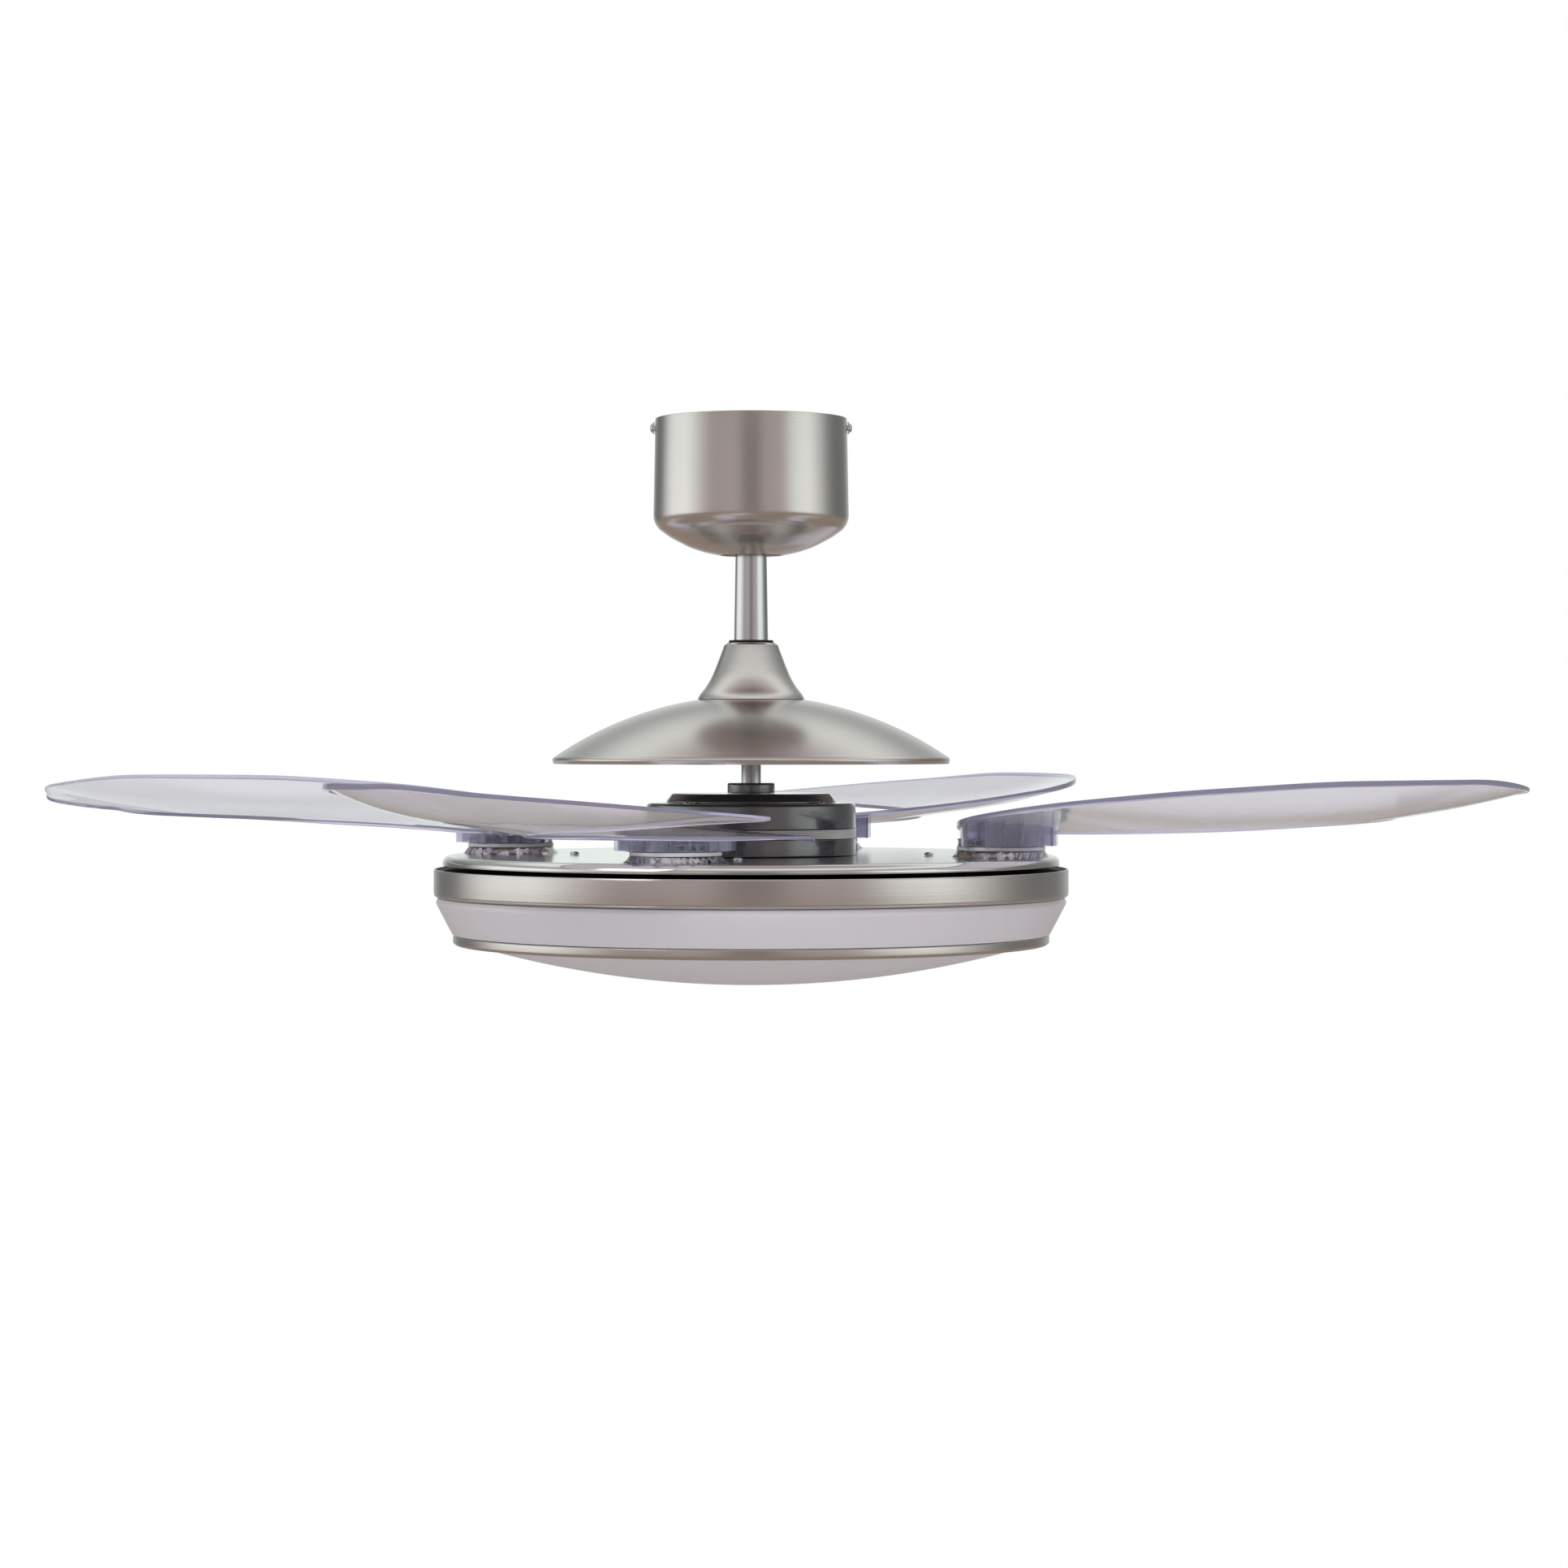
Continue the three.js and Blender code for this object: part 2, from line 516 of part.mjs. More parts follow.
function stator() {
  const outline = [];
  for (let i = 0; i < STATOR_SLOTS; i += 1) {
    const step = (2 * Math.PI) / STATOR_SLOTS;
    const corners = [[STATOR_RADIUS, -0.36], [STATOR_RADIUS, 0], [STATOR_RADIUS, 0.36], [0.55 * STATOR_RADIUS, 0.3],
      [0.55 * STATOR_RADIUS, 0.7]];
    corners.forEach(([radius, share]) => {
      const angle = (i + share) * step;
      outline.push(new THREE.Vector2(radius * Math.cos(angle), radius * Math.sin(angle)));
    });
  }
  const shape = new THREE.Shape(outline);
  shape.holes.push(new THREE.Path().absarc(0, 0, SHAFT_RADIUS + GAP, 0, 2 * Math.PI, true));
  const top = upperTop - 2 * MOTOR_WALL - RUNNING_GAP;
  const bottom = lowerTop - LOWER_HOUSING_HEIGHT + BEARING_WIDTH + RUNNING_GAP;
  return plate(shape, bottom, top - bottom);
}

// ---------------------------------------------------------------- tray and the parts under it

const pivotDistance = TRAY_RADIUS - PIVOT_INSET;
const gearModule = (2 * pivotDistance) / (BLADE_GEAR_TEETH + RING_GEAR_TEETH);
const bladeGearRadius = (gearModule * BLADE_GEAR_TEETH) / 2;
const ringGearRadius = (gearModule * RING_GEAR_TEETH) / 2;
const ringGearInside = ringGearRadius - GEAR_DEDENDUM * gearModule - GEAR_RIM;
const guideDistance = ringGearInside - GUIDE_INSET;
const sleeveRadius = PIVOT_RADIUS + GAP + SLEEVE_WALL;

const polar = (radius, degrees) => [radius * Math.cos(radians(degrees)), radius * Math.sin(radians(degrees))];

// Spur gear outline; a tooth points at the given angle.
function gearShape(teeth, pitchRadius, toothAngle, hole) {
  const pitch = 360 / teeth;
  const tooth = [[-GEAR_DEDENDUM, -0.28], [0.68, -0.1], [0.68, 0.1], [-GEAR_DEDENDUM, 0.28]];
  const outline = [];
  for (let i = 0; i < teeth; i += 1) {
    tooth.forEach(([depth, share]) => {
      const [x, y] = polar(pitchRadius + depth * gearModule, toothAngle + (i + share) * pitch);
      outline.push(new THREE.Vector2(x, y));
    });
  }
  const shape = new THREE.Shape(outline);
  shape.holes.push(new THREE.Path().absarc(0, 0, hole, 0, 2 * Math.PI, true));
  return shape;
}

function rotorTray() {
  const corner = TRAY_RADIUS - TRAY_EDGE_RADIUS;
  const edge = (radius) =>
    arcPoints(radius, 0, Math.PI / 2, 3).map(([dr, dz]) => [corner + dr, trayTop - TRAY_EDGE_RADIUS + dz]);
  const hole = SHAFT_RADIUS + RUNNING_GAP;
  const profile = [[hole, trayTop], ...edge(TRAY_EDGE_RADIUS), [TRAY_RADIUS, trayBottom], [TRAY_RADIUS - SHEET, trayBottom],
    ...edge(TRAY_EDGE_RADIUS - SHEET).reverse(), [hole, trayTop - SHEET]];
  let tray = solid(turned(profile, LARGE));
  const bossTop = trayTop + BOSS_HEIGHT;
  const slope = 1.5;
  for (let k = 0; k < BLADE_COUNT; k += 1) {
    const turn = (360 / BLADE_COUNT) * k;
    const [x, y] = polar(pivotDistance, FIRST_PIVOT_ANGLE + turn);
    const hat = turned([[0, trayTop - SHEET], [BOSS_RADIUS, trayTop - SHEET], [BOSS_RADIUS - slope, bossTop], [0, bossTop]]);
    const hollow = turned([[0, trayTop - 2 * SHEET], [BOSS_RADIUS - SHEET, trayTop - 2 * SHEET],
      [BOSS_RADIUS - SHEET - slope, bossTop - SHEET], [0, bossTop - SHEET]]);
    const bore = rod(sleeveRadius + GAP, trayTop - BOSS_HEIGHT, bossTop + SHEET);
    const [gx, gy] = polar(guideDistance, GUIDE_ANGLE + turn);
    const guideHole = rod(SCREW_HOLE_RADIUS, trayTop - 2 * SHEET, trayTop + SHEET, SMALL / 2).translate(gx, gy, 0);
    tray = join(tray, solid(hat.translate(x, y, 0)));
    tray = cut(tray, ...[hollow, bore].map((piece) => solid(piece.translate(x, y, 0))), solid(guideHole));
  }
  return surfaceOf(tray);
}

// Flanged bush: the white washer under a blade and the sleeve through the tray.
function pivotBush() {
  const bore = PIVOT_RADIUS + GAP;
  const top = bladeSeat - GAP;
  return turned([[bore, top], [WASHER_RADIUS, top], [WASHER_RADIUS, washerBottom], [sleeveRadius, washerBottom],
    [sleeveRadius, gearTop + GAP], [bore, gearTop + GAP]], MEDIUM);
}

function pivotShaft() {
  const top = bladeSeat + BLADE_DISC_THICKNESS + GAP;
  return turned([[0, gearBottom - GAP], [PIVOT_RADIUS, gearBottom - GAP], [PIVOT_RADIUS, top], [PIVOT_HEAD_RADIUS, top],
    [PIVOT_HEAD_RADIUS, top + PIVOT_HEAD_HEIGHT], [0, top + PIVOT_HEAD_HEIGHT]], SMALL);
}

// Tooth gap towards the fan's axis, where the ring's tooth stands.
const bladeGear = () => {
  const inward = FIRST_PIVOT_ANGLE + 180;
  const shape = gearShape(BLADE_GEAR_TEETH, bladeGearRadius, inward + 180 / BLADE_GEAR_TEETH, PIVOT_RADIUS + GAP);
  return plate(shape, gearBottom, GEAR_THICKNESS);
};

const ringGear = () =>
  plate(gearShape(RING_GEAR_TEETH, ringGearRadius, FIRST_PIVOT_ANGLE, ringGearInside), gearBottom, GEAR_THICKNESS, LARGE);

// Screw head on the tray, with the roller and flange that carry the ring gear below it.
function ringGuide() {
  const roller = ringGearInside * Math.cos(Math.PI / LARGE) - guideDistance - GAP;
  const flange = roller + RUNNING_GAP;
  const headBottom = trayTop + GAP;
  return turned([[0, gearBottom - GAP - SHEET], [flange, gearBottom - GAP - SHEET], [flange, gearBottom - GAP],
    [roller, gearBottom - GAP], [roller, trayTop - SHEET - GAP], [SCREW_RADIUS, trayTop - SHEET - GAP],
    [SCREW_RADIUS, headBottom], [SCREW_HEAD_RADIUS, headBottom], [SCREW_HEAD_RADIUS * 0.8, headBottom + 1.7],
    [0, headBottom + 2.4]], SMALL / 2);
}

class Helix extends THREE.Curve {
  constructor(radius, height, turns) {
    super();
    Object.assign(this, { radius, height, turns });
  }

  getPoint(t) {
    const angle = 2 * Math.PI * this.turns * t;
    return new THREE.Vector3(this.radius * Math.cos(angle), this.radius * Math.sin(angle), this.height * t);
  }
}

function returnSpring() {
  const wire = SPRING_WIRE / 2;
  const radius = sleeveRadius + GAP + SPRING_WIRE * 0.6;
  const bottom = gearTop + RUNNING_GAP + wire;
  const top = trayTop + BOSS_HEIGHT - SHEET - GAP - SPRING_WIRE;
  const section = new THREE.Shape(
    Array.from({ length: 4 }, (_, i) => new THREE.Vector2(...polar(wire, 90 * i))),
  );
  const path = new Helix(radius, top - bottom, SPRING_TURNS);
  const steps = SPRING_TURNS * 10;
  return new THREE.ExtrudeGeometry(section, { steps, extrudePath: path, bevelEnabled: false }).translate(0, 0, bottom);
}

// ---------------------------------------------------------------- blades

const crescentCentre = [pivotDistance, 0]; // from the pivot, with the blade open

// Point of the blade's upper face: degrees round the crescent, share of the chord from the inner edge.
function bladePoint(turn, share) {
  const inner = MOTOR_RADIUS + along(INNER_CLEARANCE, turn);
  const outer = TRAY_RADIUS - along(OUTER_INSET, turn);
  const rise = along(OUTER_RISE, turn) - along(INNER_RISE, turn);
  const [x, y] = polar(inner + (outer - inner) * share, 180 + turn);
  const height = along(INNER_RISE, turn) + rise * share ** along(SCOOP, turn) +
    along(CROWN, turn) * 4 * share * (1 - share);
  return [crescentCentre[0] + x, crescentCentre[1] + y, height];
}

function bladeGrid(turns, shares, level) {
  return turns.map((turn) =>
    shares.map((share) => {
      const [x, y, z] = bladePoint(turn, share);
      return [x, y, level(z, share, turn)];
    }));
}

function blade() {
  const shares = evenly(0, 1, 4);
  const rootTurns = evenly(TAIL_END, RIB_END, 7);
  const turns = [...rootTurns, ...evenly(RIB_END, TIP_START, 6).slice(1), ...evenly(TIP_START, TIP_BEND, 6).slice(1),
    ...evenly(TIP_BEND, TIP_END, 3).slice(1)];
  const thick = (share) =>
    BLADE_EDGE_THICKNESS + (BLADE_THICKNESS - BLADE_EDGE_THICKNESS) * Math.sqrt(4 * share * (1 - share));
  const upper = bladeGrid(turns, shares, (z) => z);
  const lower = bladeGrid(turns, shares, (z, share) => z - thick(share));
  const skin = solid(loft(turns.length, upper, lower));

  // walls under the root: one across the crescent at each turn, and a spine that follows it
  const wall = (wallTurns, wallShares) => {
    const head = bladeGrid(wallTurns, wallShares, (z) => z - BLADE_EDGE_THICKNESS / 2);
    const foot = bladeGrid(wallTurns, wallShares, (z, share, turn) => along(FOOT_RISE, turn));
    return solid(loft(wallTurns.length, head, foot));
  };
  const halfRib = THREE.MathUtils.radToDeg(RIB_THICKNESS / (2 * pivotDistance));
  const ribs = rootTurns.slice(1).map((turn) => wall([turn - halfRib, turn + halfRib], shares));
  const spine = wall(rootTurns, SPINE_SHARES);

  const disc = solid(tube(PIVOT_RADIUS + GAP, BLADE_DISC_RADIUS, 0, BLADE_DISC_THICKNESS, MEDIUM));
  const wrench = solid(rod(PIVOT_HEAD_RADIUS + RUNNING_GAP, BLADE_DISC_THICKNESS, BLADE_DISC_RADIUS));
  const bore = solid(rod(PIVOT_RADIUS + GAP, -BLADE_DISC_THICKNESS, BLADE_DISC_RADIUS));
  return surfaceOf(cut(join(skin, ...ribs, spine, disc), wrench, bore));
}

// ---------------------------------------------------------------- light kit

const ringRadius = TRAY_RADIUS + RING_OVERHANG;
const bandRadius = ringRadius - BAND_INSET;
const bandFootRadius = bandRadius - BAND_TAPER;
const lowerRingRadius = bandFootRadius - LOWER_RING_INSET;
const bowlRadius = lowerRingRadius - BOWL_INSET;

function lightPan() {
  const wall = ringRadius - SHEET - GAP;
  const bottom = ringBottom + SHEET + GAP;
  return turned([[SHAFT_RADIUS + GAP, panTop], [wall, panTop], [wall, bottom], [wall - SHEET, bottom],
    [wall - SHEET, panTop - SHEET], [SHAFT_RADIUS + GAP, panTop - SHEET]], LARGE);
}

function outerRing() {
  const inner = ringRadius - SHEET;
  return turned([[inner, ringTop], [ringRadius - 0.4, ringTop], [ringRadius, ringTop - 1], [ringRadius, ringBottom + 1],
    [ringRadius - 1, ringBottom], [ringRadius - RING_LIP, ringBottom], [ringRadius - RING_LIP, ringBottom + SHEET],
    [inner, ringBottom + SHEET]], LARGE);
}

function glassBand() {
  const shoulder = bandTop - BAND_SHOULDER;
  const neck = bandRadius - 2;
  return turned([[neck, bandTop], [bandRadius, shoulder + 1.5], [bandRadius, shoulder], [bandFootRadius, bandBottom],
    [bandFootRadius - BAND_WALL, bandBottom], [bandRadius - BAND_WALL, shoulder], [neck - BAND_WALL, bandTop]], LARGE);
}

function lowerRing() {
  const inner = bowlRadius + GAP;
  const ledge = inner - 4;
  return turned([[inner, lowerRingTop], [lowerRingRadius, lowerRingTop], [lowerRingRadius, lowerRingBottom],
    [ledge, lowerRingBottom], [ledge, lowerRingBottom + SHEET], [inner, lowerRingBottom + SHEET]], LARGE);
}

function glassBowl() {
  const rest = lowerRingBottom + SHEET + GAP;
  const steps = 4;
  const reach = bowlRadius - 4 - GAP;
  const radii = evenly(reach, 0, steps);
  const foot = rest - SHEET - GAP;
  const dip = (radius) => foot - (sag(BOWL_SPHERE_RADIUS, reach) - sag(BOWL_SPHERE_RADIUS, radius));
  const outside = radii.map((radius) => [radius, dip(radius)]);
  const inside = radii.map((radius) => [radius, dip(radius) + BOWL_WALL]).reverse();
  return turned([[0, dip(0)], ...outside.reverse().slice(1), [reach, rest], [bowlRadius, rest],
    [bowlRadius, rest + BOWL_WALL], [reach, rest + BOWL_WALL], ...inside.slice(0, -1).reverse(), [0, dip(0) + BOWL_WALL]],
  LARGE);
}

function lightNut() {
  const top = panTop - SHEET - GAP;
  const hexagon = Array.from({ length: 6 }, (_, i) => new THREE.Vector2(...polar(NUT_WIDTH / Math.sqrt(3), 60 * i)));
  const shape = new THREE.Shape(hexagon);
  shape.holes.push(new THREE.Path().absarc(0, 0, SHAFT_RADIUS + GAP, 0, 2 * Math.PI, true));
  return plate(shape, top - NUT_HEIGHT, NUT_HEIGHT);
}

function lightBoard() {
  const top = panTop - SHEET - GAP;
  return tube(NUT_WIDTH, LIGHT_BOARD_RADIUS, top - LIGHT_BOARD_THICKNESS, top, LARGE);
}

// ---------------------------------------------------------------- assembly

const fan = new THREE.Group();
const pinLength = 2 * (BALL_RADIUS - RUNNING_GAP);

fan.add(
  named('hanger_bracket', hangerBracket(), zinc),
  named('canopy', canopy(), nickel),
  named('ball_seat', ballSeat(), whiteNylon),
  named('hanger_ball', hangerBall(), greyNylon),
  named('ball_pin', crossPin(PIN_RADIUS, pinLength, -BALL_DROP), steel),
);

['left', 'right'].forEach((name, i) => {
  const side = new THREE.Group();
  const rim = CANOPY_RIM_RADIUS + GAP + 0.4;
  side.rotation.z = i ? 0 : Math.PI;
  const washer = named(`canopy_washer_${name}`, starWasher(0.8), steel);
  washer.position.set(rim, 0, -CANOPY_SCREW_DROP - SHEET);
  washer.rotation.y = Math.PI / 2;
  const screw = named(`canopy_screw_${name}`, panScrew(9), steel);
  screw.position.set(rim + 0.8 + GAP, 0, -CANOPY_SCREW_DROP - SHEET);
  screw.rotation.y = Math.PI / 2;
  side.add(washer, screw);
  fan.add(side);
});

const stem = new THREE.Group();
stem.add(
  named('downrod', downrod(), nickel),
  named('rod_gasket', tube(ROD_BOTTOM_RADIUS + GAP, GASKET_RADIUS, gasketTop - GASKET_THICKNESS, gasketTop, MEDIUM), rubber),
  named('cone_cover', coneCover(), nickel),
  named('dome_cover', domeCover(), nickel),
  named('shaft_coupler', shaftCoupler(), zinc),
  named('coupler_pin', crossPin(PIN_RADIUS, 2 * couplerRadius, couplerPinZ), steel),
  named('motor_shaft', motorShaft(), steel),
  named('stator', stator(), copper),
  named('light_pan', lightPan(), blackPaint),
  named('light_nut', lightNut(), steel),
  named('light_board', lightBoard(), boardWhite),
  named('outer_ring', outerRing(), nickel),
  named('glass_band', glassBand(), frostedGlass),
  named('lower_ring', lowerRing(), nickel),
  named('glass_bowl', glassBowl(), frostedGlass),
);
fan.add(stem);

const rotor = new THREE.Group();
const upperBearingTop = plateTop - GAP;
const lowerBearingBottom = trayTop + GAP;
rotor.add(
  named('bearing_cap', bearingCap(), blackPlastic),
  named('motor_top_plate', motorTopPlate(), blackPlastic),
  named('upper_housing', upperHousing(), blackPlastic),
  named('rotor_core', tube(STATOR_RADIUS + AIR_GAP, MOTOR_RADIUS + CORE_PROUD, coreTop - CORE_HEIGHT, coreTop, MEDIUM), steel),
  named('lower_housing', lowerHousing(), blackPlastic),
  named('upper_bearing', tube(SHAFT_RADIUS + GAP, BEARING_RADIUS, upperBearingTop - BEARING_WIDTH, upperBearingTop), steel),
  named('lower_bearing', tube(SHAFT_RADIUS + GAP, BEARING_RADIUS, lowerBearingBottom, lowerBearingBottom + BEARING_WIDTH),
    steel),
  named('rotor_tray', rotorTray(), nickel),
  named('sync_ring', ringGear(), greyNylon),
);
fan.add(rotor);

const shapes = {
  blade: blade(), bush: pivotBush(), shaft: pivotShaft(), gear: bladeGear(), guide: ringGuide(), spring: returnSpring(),
};
for (let k = 0; k < BLADE_COUNT; k += 1) {
  const arm = new THREE.Group();
  arm.rotation.z = radians((360 / BLADE_COUNT) * k);
  const pivot = new THREE.Group();
  pivot.position.set(...polar(pivotDistance, FIRST_PIVOT_ANGLE), 0);
  const bladeMesh = named(`blade_${k + 1}`, shapes.blade, clearPlastic);
  bladeMesh.position.z = bladeSeat;
  pivot.add(
    bladeMesh,
    named(`pivot_bush_${k + 1}`, shapes.bush, whiteNylon),
    named(`pivot_shaft_${k + 1}`, shapes.shaft, brass),
    named(`blade_gear_${k + 1}`, shapes.gear, greyNylon),
    named(`return_spring_${k + 1}`, shapes.spring, steel),
  );
  const guide = named(`ring_guide_${k + 1}`, shapes.guide, steel);
  guide.position.set(...polar(guideDistance, GUIDE_ANGLE), 0);
  arm.add(pivot, guide);
  rotor.add(arm);
}

export default fan;
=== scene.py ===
"""Looks of the retractable blade ceiling fan, in metres, in the frame of its solids.

The smooth outer forms stand for the faceted solids and are turned, lofted or extruded here from
millimetre profiles. +Z is up and the origin is where the bracket meets the ceiling.
"""

import math

import bmesh
import bpy
import numpy as np
from mathutils import Matrix, Vector


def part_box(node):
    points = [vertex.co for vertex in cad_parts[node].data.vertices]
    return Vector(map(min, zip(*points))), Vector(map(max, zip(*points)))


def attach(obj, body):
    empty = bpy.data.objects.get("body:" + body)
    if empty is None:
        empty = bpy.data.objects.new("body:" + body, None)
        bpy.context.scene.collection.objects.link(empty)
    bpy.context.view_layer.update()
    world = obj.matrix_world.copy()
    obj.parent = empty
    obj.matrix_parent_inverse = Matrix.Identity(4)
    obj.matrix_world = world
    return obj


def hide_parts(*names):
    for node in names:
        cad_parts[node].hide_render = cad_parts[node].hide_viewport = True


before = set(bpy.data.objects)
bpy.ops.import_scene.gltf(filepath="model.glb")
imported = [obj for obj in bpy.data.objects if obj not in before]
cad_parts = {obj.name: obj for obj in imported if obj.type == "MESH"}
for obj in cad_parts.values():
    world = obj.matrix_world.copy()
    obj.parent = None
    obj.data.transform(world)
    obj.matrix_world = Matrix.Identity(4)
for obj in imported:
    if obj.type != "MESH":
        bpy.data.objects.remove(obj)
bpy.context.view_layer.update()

MM = 0.001
TURN = 2 * math.pi
SCENE = bpy.context.scene

# ------------------------------------------------------------------ measures of the solids, in mm


def span(node):
    """Lowest z, highest z and largest x of a node, in mm."""
    low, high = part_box(node)
    return low.z / MM, high.z / MM, high.x / MM


def centre(node):
    """Middle of a node in plan, in mm."""
    low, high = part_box(node)
    return (low.x + high.x) / 2 / MM, (low.y + high.y) / 2 / MM


BLADES = (1, 2, 3, 4)
PIVOTS = {k: centre(f"pivot_shaft_{k}") for k in BLADES}
PIVOT_DISTANCE = math.hypot(*PIVOTS[1])
BOSS_RADIUS, BOSS_HEIGHT = 37.5, 5
DISC_RADIUS, DISC_THICKNESS = 34, 6

# Blades, by degrees round the crescent: inside the tray's edge, outside the motor or above the seat, in mm.
TAIL, TIP, RIBBED = -27, 208, 17
OUTER_INSET = [(-27, 17.5), (-8, 8.5), (20, 6), (60, 5), (105, 10.6), (130, 19.6), (152, 32), (172, 64.5),
               (190, 78), (208, 99)]
INNER_CLEARANCE = [(-27, 135.5), (-8, 76.5), (20, 37), (60, 16.5), (105, 15.5), (130, 17), (152, 19.5),
                   (172, 23), (190, 28.5), (208, 53.5)]
OUTER_RISE = [(-27, 9), (0, 19), (25, 28.5), (50, 39), (75, 48), (100, 53.5), (125, 54), (150, 47.5),
              (175, 40), (208, 32)]
INNER_RISE = [(-27, 11), (0, 12.5), (25, 14), (50, 15.5), (75, 17), (100, 19), (125, 21), (150, 23.5),
              (175, 26.5), (208, 31)]
SCOOP = [(-27, 1.5), (30, 1.6), (65, 2.8), (95, 3), (130, 2.2), (208, 1.8)]
CROWN = [(-27, 1), (60, 6), (100, 6.5), (140, 5), (175, 2), (208, 0)]
LIP = [(-27, 2.4), (-8, 4.6), (100, 4.6), (135, 4.2), (150, 3), (208, 2.4)]
INNER_LIP = [(-27, 2.4), (-8, 3.6), (50, 3.6), (110, 2.6), (130, 2.6), (160, 3), (208, 2.4)]
FOOT_RISE = [(-27, 0), (22, 0), (50, 11)]
TRAY_EDGE = span("rotor_tray")[2]
MOTOR_WALL = span("upper_housing")[2]

# ------------------------------------------------------------------ materials


def node_of(tree, kind, **inputs):
    node = tree.nodes.new(kind)
    for name, value in inputs.items():
        node.inputs[name.replace("_", " ")].default_value = value
    return node


def material(name, colour, roughness, metallic=0.0, **sockets):
    """A Principled material with fine unevenness in its colour, gloss and surface."""
    options = {key: sockets.pop(key, value) for key, value in
               {"grain": 900, "bump": 0.05, "spread": 0.06, "mottle": 14, "brushed": None}.items()}
    made = bpy.data.materials.new(name)
    made.use_nodes = True
    tree = made.node_tree
    shader = tree.nodes["Principled BSDF"]
    shader.inputs["Metallic"].default_value = metallic
    for socket, value in sockets.items():
        shader.inputs[socket.replace("_", " ")].default_value = value
    place = tree.nodes.new("ShaderNodeTexCoord").outputs["Object"]

    broad = node_of(tree, "ShaderNodeTexNoise", Scale=options["mottle"], Detail=4.0)
    tree.links.new(place, broad.inputs["Vector"])
    shade = tree.nodes.new("ShaderNodeMix")
    shade.data_type = "RGBA"
    shade.inputs[6].default_value = [c * (1 - options["spread"]) for c in colour] + [1]
    shade.inputs[7].default_value = [min(1, c * (1 + options["spread"])) for c in colour] + [1]
    tree.links.new(broad.outputs["Fac"], shade.inputs[0])
    tree.links.new(shade.outputs[2], shader.inputs["Base Color"])

    fine = node_of(tree, "ShaderNodeTexNoise", Scale=options["grain"], Detail=3.0)
    if options["brushed"]:
        split = tree.nodes.new("ShaderNodeSeparateXYZ")
        tree.links.new(place, split.inputs[0])
        rebuilt = tree.nodes.new("ShaderNodeCombineXYZ")
        if options["brushed"] == "round":
            flat = tree.nodes.new("ShaderNodeCombineXYZ")
            tree.links.new(split.outputs[0], flat.inputs[0])
            tree.links.new(split.outputs[1], flat.inputs[1])
            radius = tree.nodes.new("ShaderNodeVectorMath")
            radius.operation = "LENGTH"
            tree.links.new(flat.outputs[0], radius.inputs[0])
            tree.links.new(radius.outputs["Value"], rebuilt.inputs[0])
            tree.links.new(split.outputs[2], rebuilt.inputs[2])
        else:
            tree.links.new(split.outputs[1], rebuilt.inputs[1])
            tree.links.new(split.outputs[2], rebuilt.inputs[2])
        tree.links.new(rebuilt.outputs[0], fine.inputs["Vector"])
    else:
        tree.links.new(place, fine.inputs["Vector"])
    gloss = node_of(tree, "ShaderNodeMapRange")
    gloss.inputs["To Min"].default_value = roughness * 0.85
    gloss.inputs["To Max"].default_value = min(1, roughness * 1.2)
    tree.links.new(fine.outputs["Fac"], gloss.inputs["Value"])
    tree.links.new(gloss.outputs[0], shader.inputs["Roughness"])
    if options["bump"]:
        bump = node_of(tree, "ShaderNodeBump", Strength=options["bump"], Distance=0.0004)
        tree.links.new(fine.outputs["Fac"], bump.inputs["Height"])
        tree.links.new(bump.outputs[0], shader.inputs["Normal"])
    return made


NICKEL = material("brushed_nickel", (0.60, 0.555, 0.54), 0.24, 1.0, brushed="round", bump=0.10, grain=1400)
TRAY_NICKEL = material("tray_nickel", (0.66, 0.63, 0.62), 0.13, 1.0, brushed="round", bump=0.03, grain=1400)
STEEL = material("bright_steel", (0.62, 0.61, 0.62), 0.22, 1.0, brushed="round", bump=0.08, grain=1400)
# Rotor core: bright_steel with its colour raised so the core band between the black housings reads lit. This is
# a painted highlight.
LIT_CORE_STEEL = material("core_steel_painted_highlight", (0.86, 0.85, 0.86), 0.3, 1.0, brushed="round", bump=0.05, grain=1400)
ZINC = material("zinc_plate", (0.52, 0.51, 0.49), 0.4, 1.0, brushed="straight", spread=0.12)
GLOSS_BLACK = material("gloss_black", (0.036, 0.035, 0.042), 0.24, Specular_IOR_Level=0.9, Coat_Weight=1.0,
                       Coat_Roughness=0.08, Coat_IOR=1.7, grain=260, bump=0.012)
MATT_BLACK = material("matt_black", (0.012, 0.012, 0.013), 0.6)
RUBBER = material("gasket_rubber", (0.013, 0.013, 0.013), 0.75, grain=1600, bump=0.2)
WHITE_NYLON = material("white_nylon", (0.80, 0.79, 0.83), 0.38, Subsurface_Weight=0.25, Subsurface_Scale=0.006,
                       grain=500)
GREY_NYLON = material("grey_nylon", (0.27, 0.27, 0.29), 0.5, grain=700, bump=0.1)
BRASS = material("turned_brass", (0.60, 0.36, 0.20), 0.3, 1.0, brushed="round")
WINDINGS = material("copper_windings", (0.42, 0.16, 0.06), 0.45, 0.6, brushed="straight", grain=1200, bump=0.3)
BOARD_WHITE = material("board_white", (0.85, 0.85, 0.84), 0.55)
FROSTED = material("frosted_glass", (0.66, 0.63, 0.66), 0.36, Coat_Weight=0.15, Coat_Roughness=0.3,
                   Subsurface_Weight=0.3, Subsurface_Scale=0.01, grain=2200, bump=0.05, spread=0.03)
CLEAR = material("clear_moulding", (0.69, 0.68, 0.73), 0.06, Transmission_Weight=0.97, IOR=1.3, grain=90,
                 Specular_IOR_Level=0.3, bump=0.01, spread=0.02)
